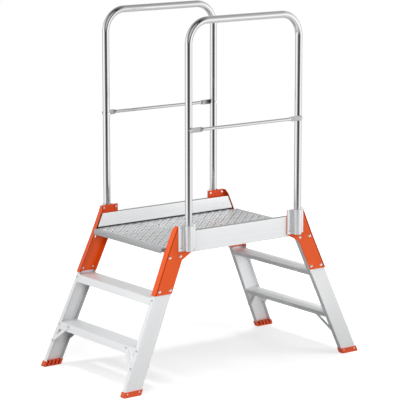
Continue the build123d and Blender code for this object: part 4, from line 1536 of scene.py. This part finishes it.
@dataclass
class Studio:
    """White studio: floor, soft light from all round, a few lamps and the camera of the photo."""

    azimuth: float = -36.88
    elevation: float = 10.81
    lens: float = 182.74
    sensor: float = 36.0
    distance: float = 10.23565
    sight: float = 100.0
    target_height: float = 0.82354
    target_right: float = -0.00759
    floor_radius: float = 4.0
    floor_points: int = 96
    floor_colour: str = "#949494"
    floor_seen: str = "#B5B5B5"
    floor_glow: tuple[float, float] = (0.58, 0.95)
    glow_reach: tuple[float, float] = (0.7, 2.0)
    glow_mirrored: float = 0.5
    sky_level: float = 0.8
    mirror_level: float = 1.6
    ring_tilt: float = 30.0
    ring_turn: float = 6.0
    ring: Stops = (
        (-1.0, 0.16), (-0.95, 0.18), (-0.76, 0.3), (-0.6, 0.45), (-0.4, 0.7), (-0.15, 0.95),
        (0.0, 1.0), (0.33, 1.0), (0.61, 0.45), (0.74, 0.04), (1.0, 0.02),
    )
    over: Stops = ((0.8, 0.0), (0.9, 0.36), (1.0, 0.52))
    fall: Stops = (
        (0.0, 1.0), (0.2, 0.97), (0.35, 0.75), (0.68, 0.5), (0.85, 0.22), (1.0, 0.2),
    )
    lamps: tuple[Softbox | DistantLamp, ...] = (
        Softbox("key softbox", 30.0, (1.9, -1.9, 2.2), 1.2),
        Softbox("deck softbox", 7.2, (0.25, -0.38, 1.5), 0.6),
        Softbox("front softbox", 26.0, (-1.7, -1.3, 1.6), 1.2),
        Softbox("leg softbox", 0.24, (-0.35, -1.5, 0.3), 0.25, (0.62, 0.33, 0.28), 20.0),
        DistantLamp("top lamp", 1.45, (-0.22, 0.1, 1.0), 10.0),
        DistantLamp("fill lamp", 0.72, (-0.2, -0.97, 0.12), 40.0),
        DistantLamp("back lamp", 1.1, (0.55, 0.8, 0.12), 40.0),
    )

    @staticmethod
    def direction(turn: float, rise: float) -> Point:
        """Direction by degrees of turn from the near side and of rise above the floor."""
        a, e = math.radians(turn), math.radians(rise)
        return math.sin(a) * math.cos(e), -math.cos(a) * math.cos(e), math.sin(e)

    def camera(self) -> None:
        """Place the camera on a sphere about the target, by azimuth and elevation."""
        back = Vector(self.direction(self.azimuth, self.elevation))
        a = math.radians(self.azimuth)
        right = Vector((math.cos(a), math.sin(a), 0))
        target = Vector((0, 0, self.target_height)) + right * self.target_right
        lens = bpy.data.cameras.new("photo camera")
        lens.lens = self.lens
        lens.sensor_width = self.sensor
        lens.clip_end = self.sight
        camera = add_object("photo camera", lens)
        camera.location = target + back * self.distance
        camera.rotation_euler = facing_away(back)
        bpy.context.scene.camera = camera

    def floor(self) -> None:
        """Lay a disc that the camera sees as white.

        Its glow keeps the shadow pale and grows outwards, where the lamps reach less. Metal sees
        part of that glow, so that the tubes have a darker line below.
        """
        turn = np.linspace(0, 2 * np.pi, self.floor_points, endpoint=False)
        ring = np.stack([np.cos(turn), np.sin(turn), np.zeros_like(turn)], axis=1)
        mesh = bpy.data.meshes.new("floor")
        mesh.from_pydata((ring * self.floor_radius).tolist(), [], [list(range(len(ring)))])
        paint = bpy.data.materials.new("white studio floor")
        tree = empty_tree(paint)
        path = add_node(tree, "ShaderNodeLightPath").outputs
        matt = add_node(tree, "ShaderNodeBsdfDiffuse", {"Color": linear(self.floor_colour)})
        pale = add_node(tree, "ShaderNodeBsdfDiffuse", {"Color": linear(self.floor_seen)})
        place = add_node(tree, "ShaderNodeTexCoord").outputs["Object"]
        reach = add_node(tree, "ShaderNodeVectorMath", {0: place}, operation="LENGTH")
        level = add_node(
            tree,
            "ShaderNodeMapRange",
            {
                "Value": reach.outputs["Value"],
                "From Min": self.glow_reach[0],
                "From Max": self.glow_reach[1],
                "To Min": self.floor_glow[0],
                "To Max": self.floor_glow[1],
            },
        )
        by_ray = {"Value": path["Is Camera Ray"], "To Min": self.glow_mirrored}
        share = add_node(tree, "ShaderNodeMapRange", by_ray)
        strength = add_node(tree, "ShaderNodeMath", {0: level, 1: share}, operation="MULTIPLY")
        glow = add_node(tree, "ShaderNodeEmission", {"Color": WHITE, "Strength": strength})
        lifted = add_node(tree, "ShaderNodeAddShader", {0: pale, 1: glow})
        rays = {0: path["Is Camera Ray"], 1: path["Is Glossy Ray"]}
        looked_at = add_node(tree, "ShaderNodeMath", rays, operation="MAXIMUM")
        seen = add_node(tree, "ShaderNodeMixShader", {0: looked_at, 1: matt, 2: lifted})
        add_node(tree, "ShaderNodeOutputMaterial", {"Surface": seen})
        mesh.materials.append(paint)
        floor = add_object("floor", mesh)

    def world(self) -> None:
        """Light the scene from all round; the camera itself sees plain white.

        A direction's brightness is a ring times a fall. The ring goes by the cosine of the angle
        from an axis tilted up over the camera: dark behind the camera, bright at both sides, dim
        low at the back. The fall goes by the height of the direction and dims towards the ceiling.
        Metal also sees a lamp over the camera, round the same axis, which lightens tubes' bends.
        """
        world = bpy.data.worlds.new("studio")
        bpy.context.scene.world = world
        world.cycles.sampling_method = "NONE"
        tree = empty_tree(world)
        path = add_node(tree, "ShaderNodeLightPath").outputs
        place = add_node(tree, "ShaderNodeTexCoord").outputs["Generated"]
        axis = self.direction(self.azimuth + self.ring_turn, self.ring_tilt)
        both = {0: place, 1: axis}
        cosine = add_node(tree, "ShaderNodeVectorMath", both, operation="DOT_PRODUCT")
        whole = {"Value": cosine.outputs["Value"], "From Min": -1.0}
        around = add_node(tree, "ShaderNodeMapRange", whole)
        height = add_node(tree, "ShaderNodeSeparateXYZ", {0: place}).outputs["Z"]
        ramps = []
        for share, stops in (
            (around, [((1 + along) / 2, light) for along, light in self.ring]),
            (around, [((1 + along) / 2, light) for along, light in self.over]),
            (height, self.fall),
        ):
            greys = [(at, (light, light, light, 1.0)) for at, light in stops]
            ramps.append(add_node(tree, "ShaderNodeValToRGB", {"Fac": share}, greys))
        ring, over, fall = ramps
        studio = add_node(tree, "ShaderNodeVectorMath", {0: ring, 1: fall}, operation="MULTIPLY")
        lamp = add_node(tree, "ShaderNodeVectorMath", {0: studio, 1: over}, operation="ADD")
        levels = ((studio, self.sky_level), (lamp, self.mirror_level), (WHITE, 1.0))
        seen, mirrored, white = (
            add_node(tree, "ShaderNodeBackground", {"Color": colour, "Strength": strength})
            for colour, strength in levels
        )
        rays = {"Is Glossy Ray": mirrored, "Is Transmission Ray": white, "Is Camera Ray": white}
        for ray, light in rays.items():
            seen = add_node(tree, "ShaderNodeMixShader", {0: path[ray], 1: seen, 2: light})
        add_node(tree, "ShaderNodeOutputWorld", {"Surface": seen})

    def build(self) -> None:
        """Set up the studio."""
        bpy.context.scene.view_settings.view_transform = "Standard"
        self.floor()
        self.world()
        for lamp in self.lamps:
            lamp.build()
        self.camera()


def main() -> None:
    """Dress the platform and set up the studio."""
    logging.basicConfig(level=logging.INFO, format="%(name)s %(message)s")
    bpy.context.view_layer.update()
    leg = Leg()
    for side in Side:
        Guardrail(side).build()
    for end in End:
        Ladder(leg, end).build()
    for corner in CORNERS:
        CornerJoint(leg, corner).build()
    Deck(leg).build()
    Fasteners().build()
    Studio().build()


if __name__ == "__main__":
    main()
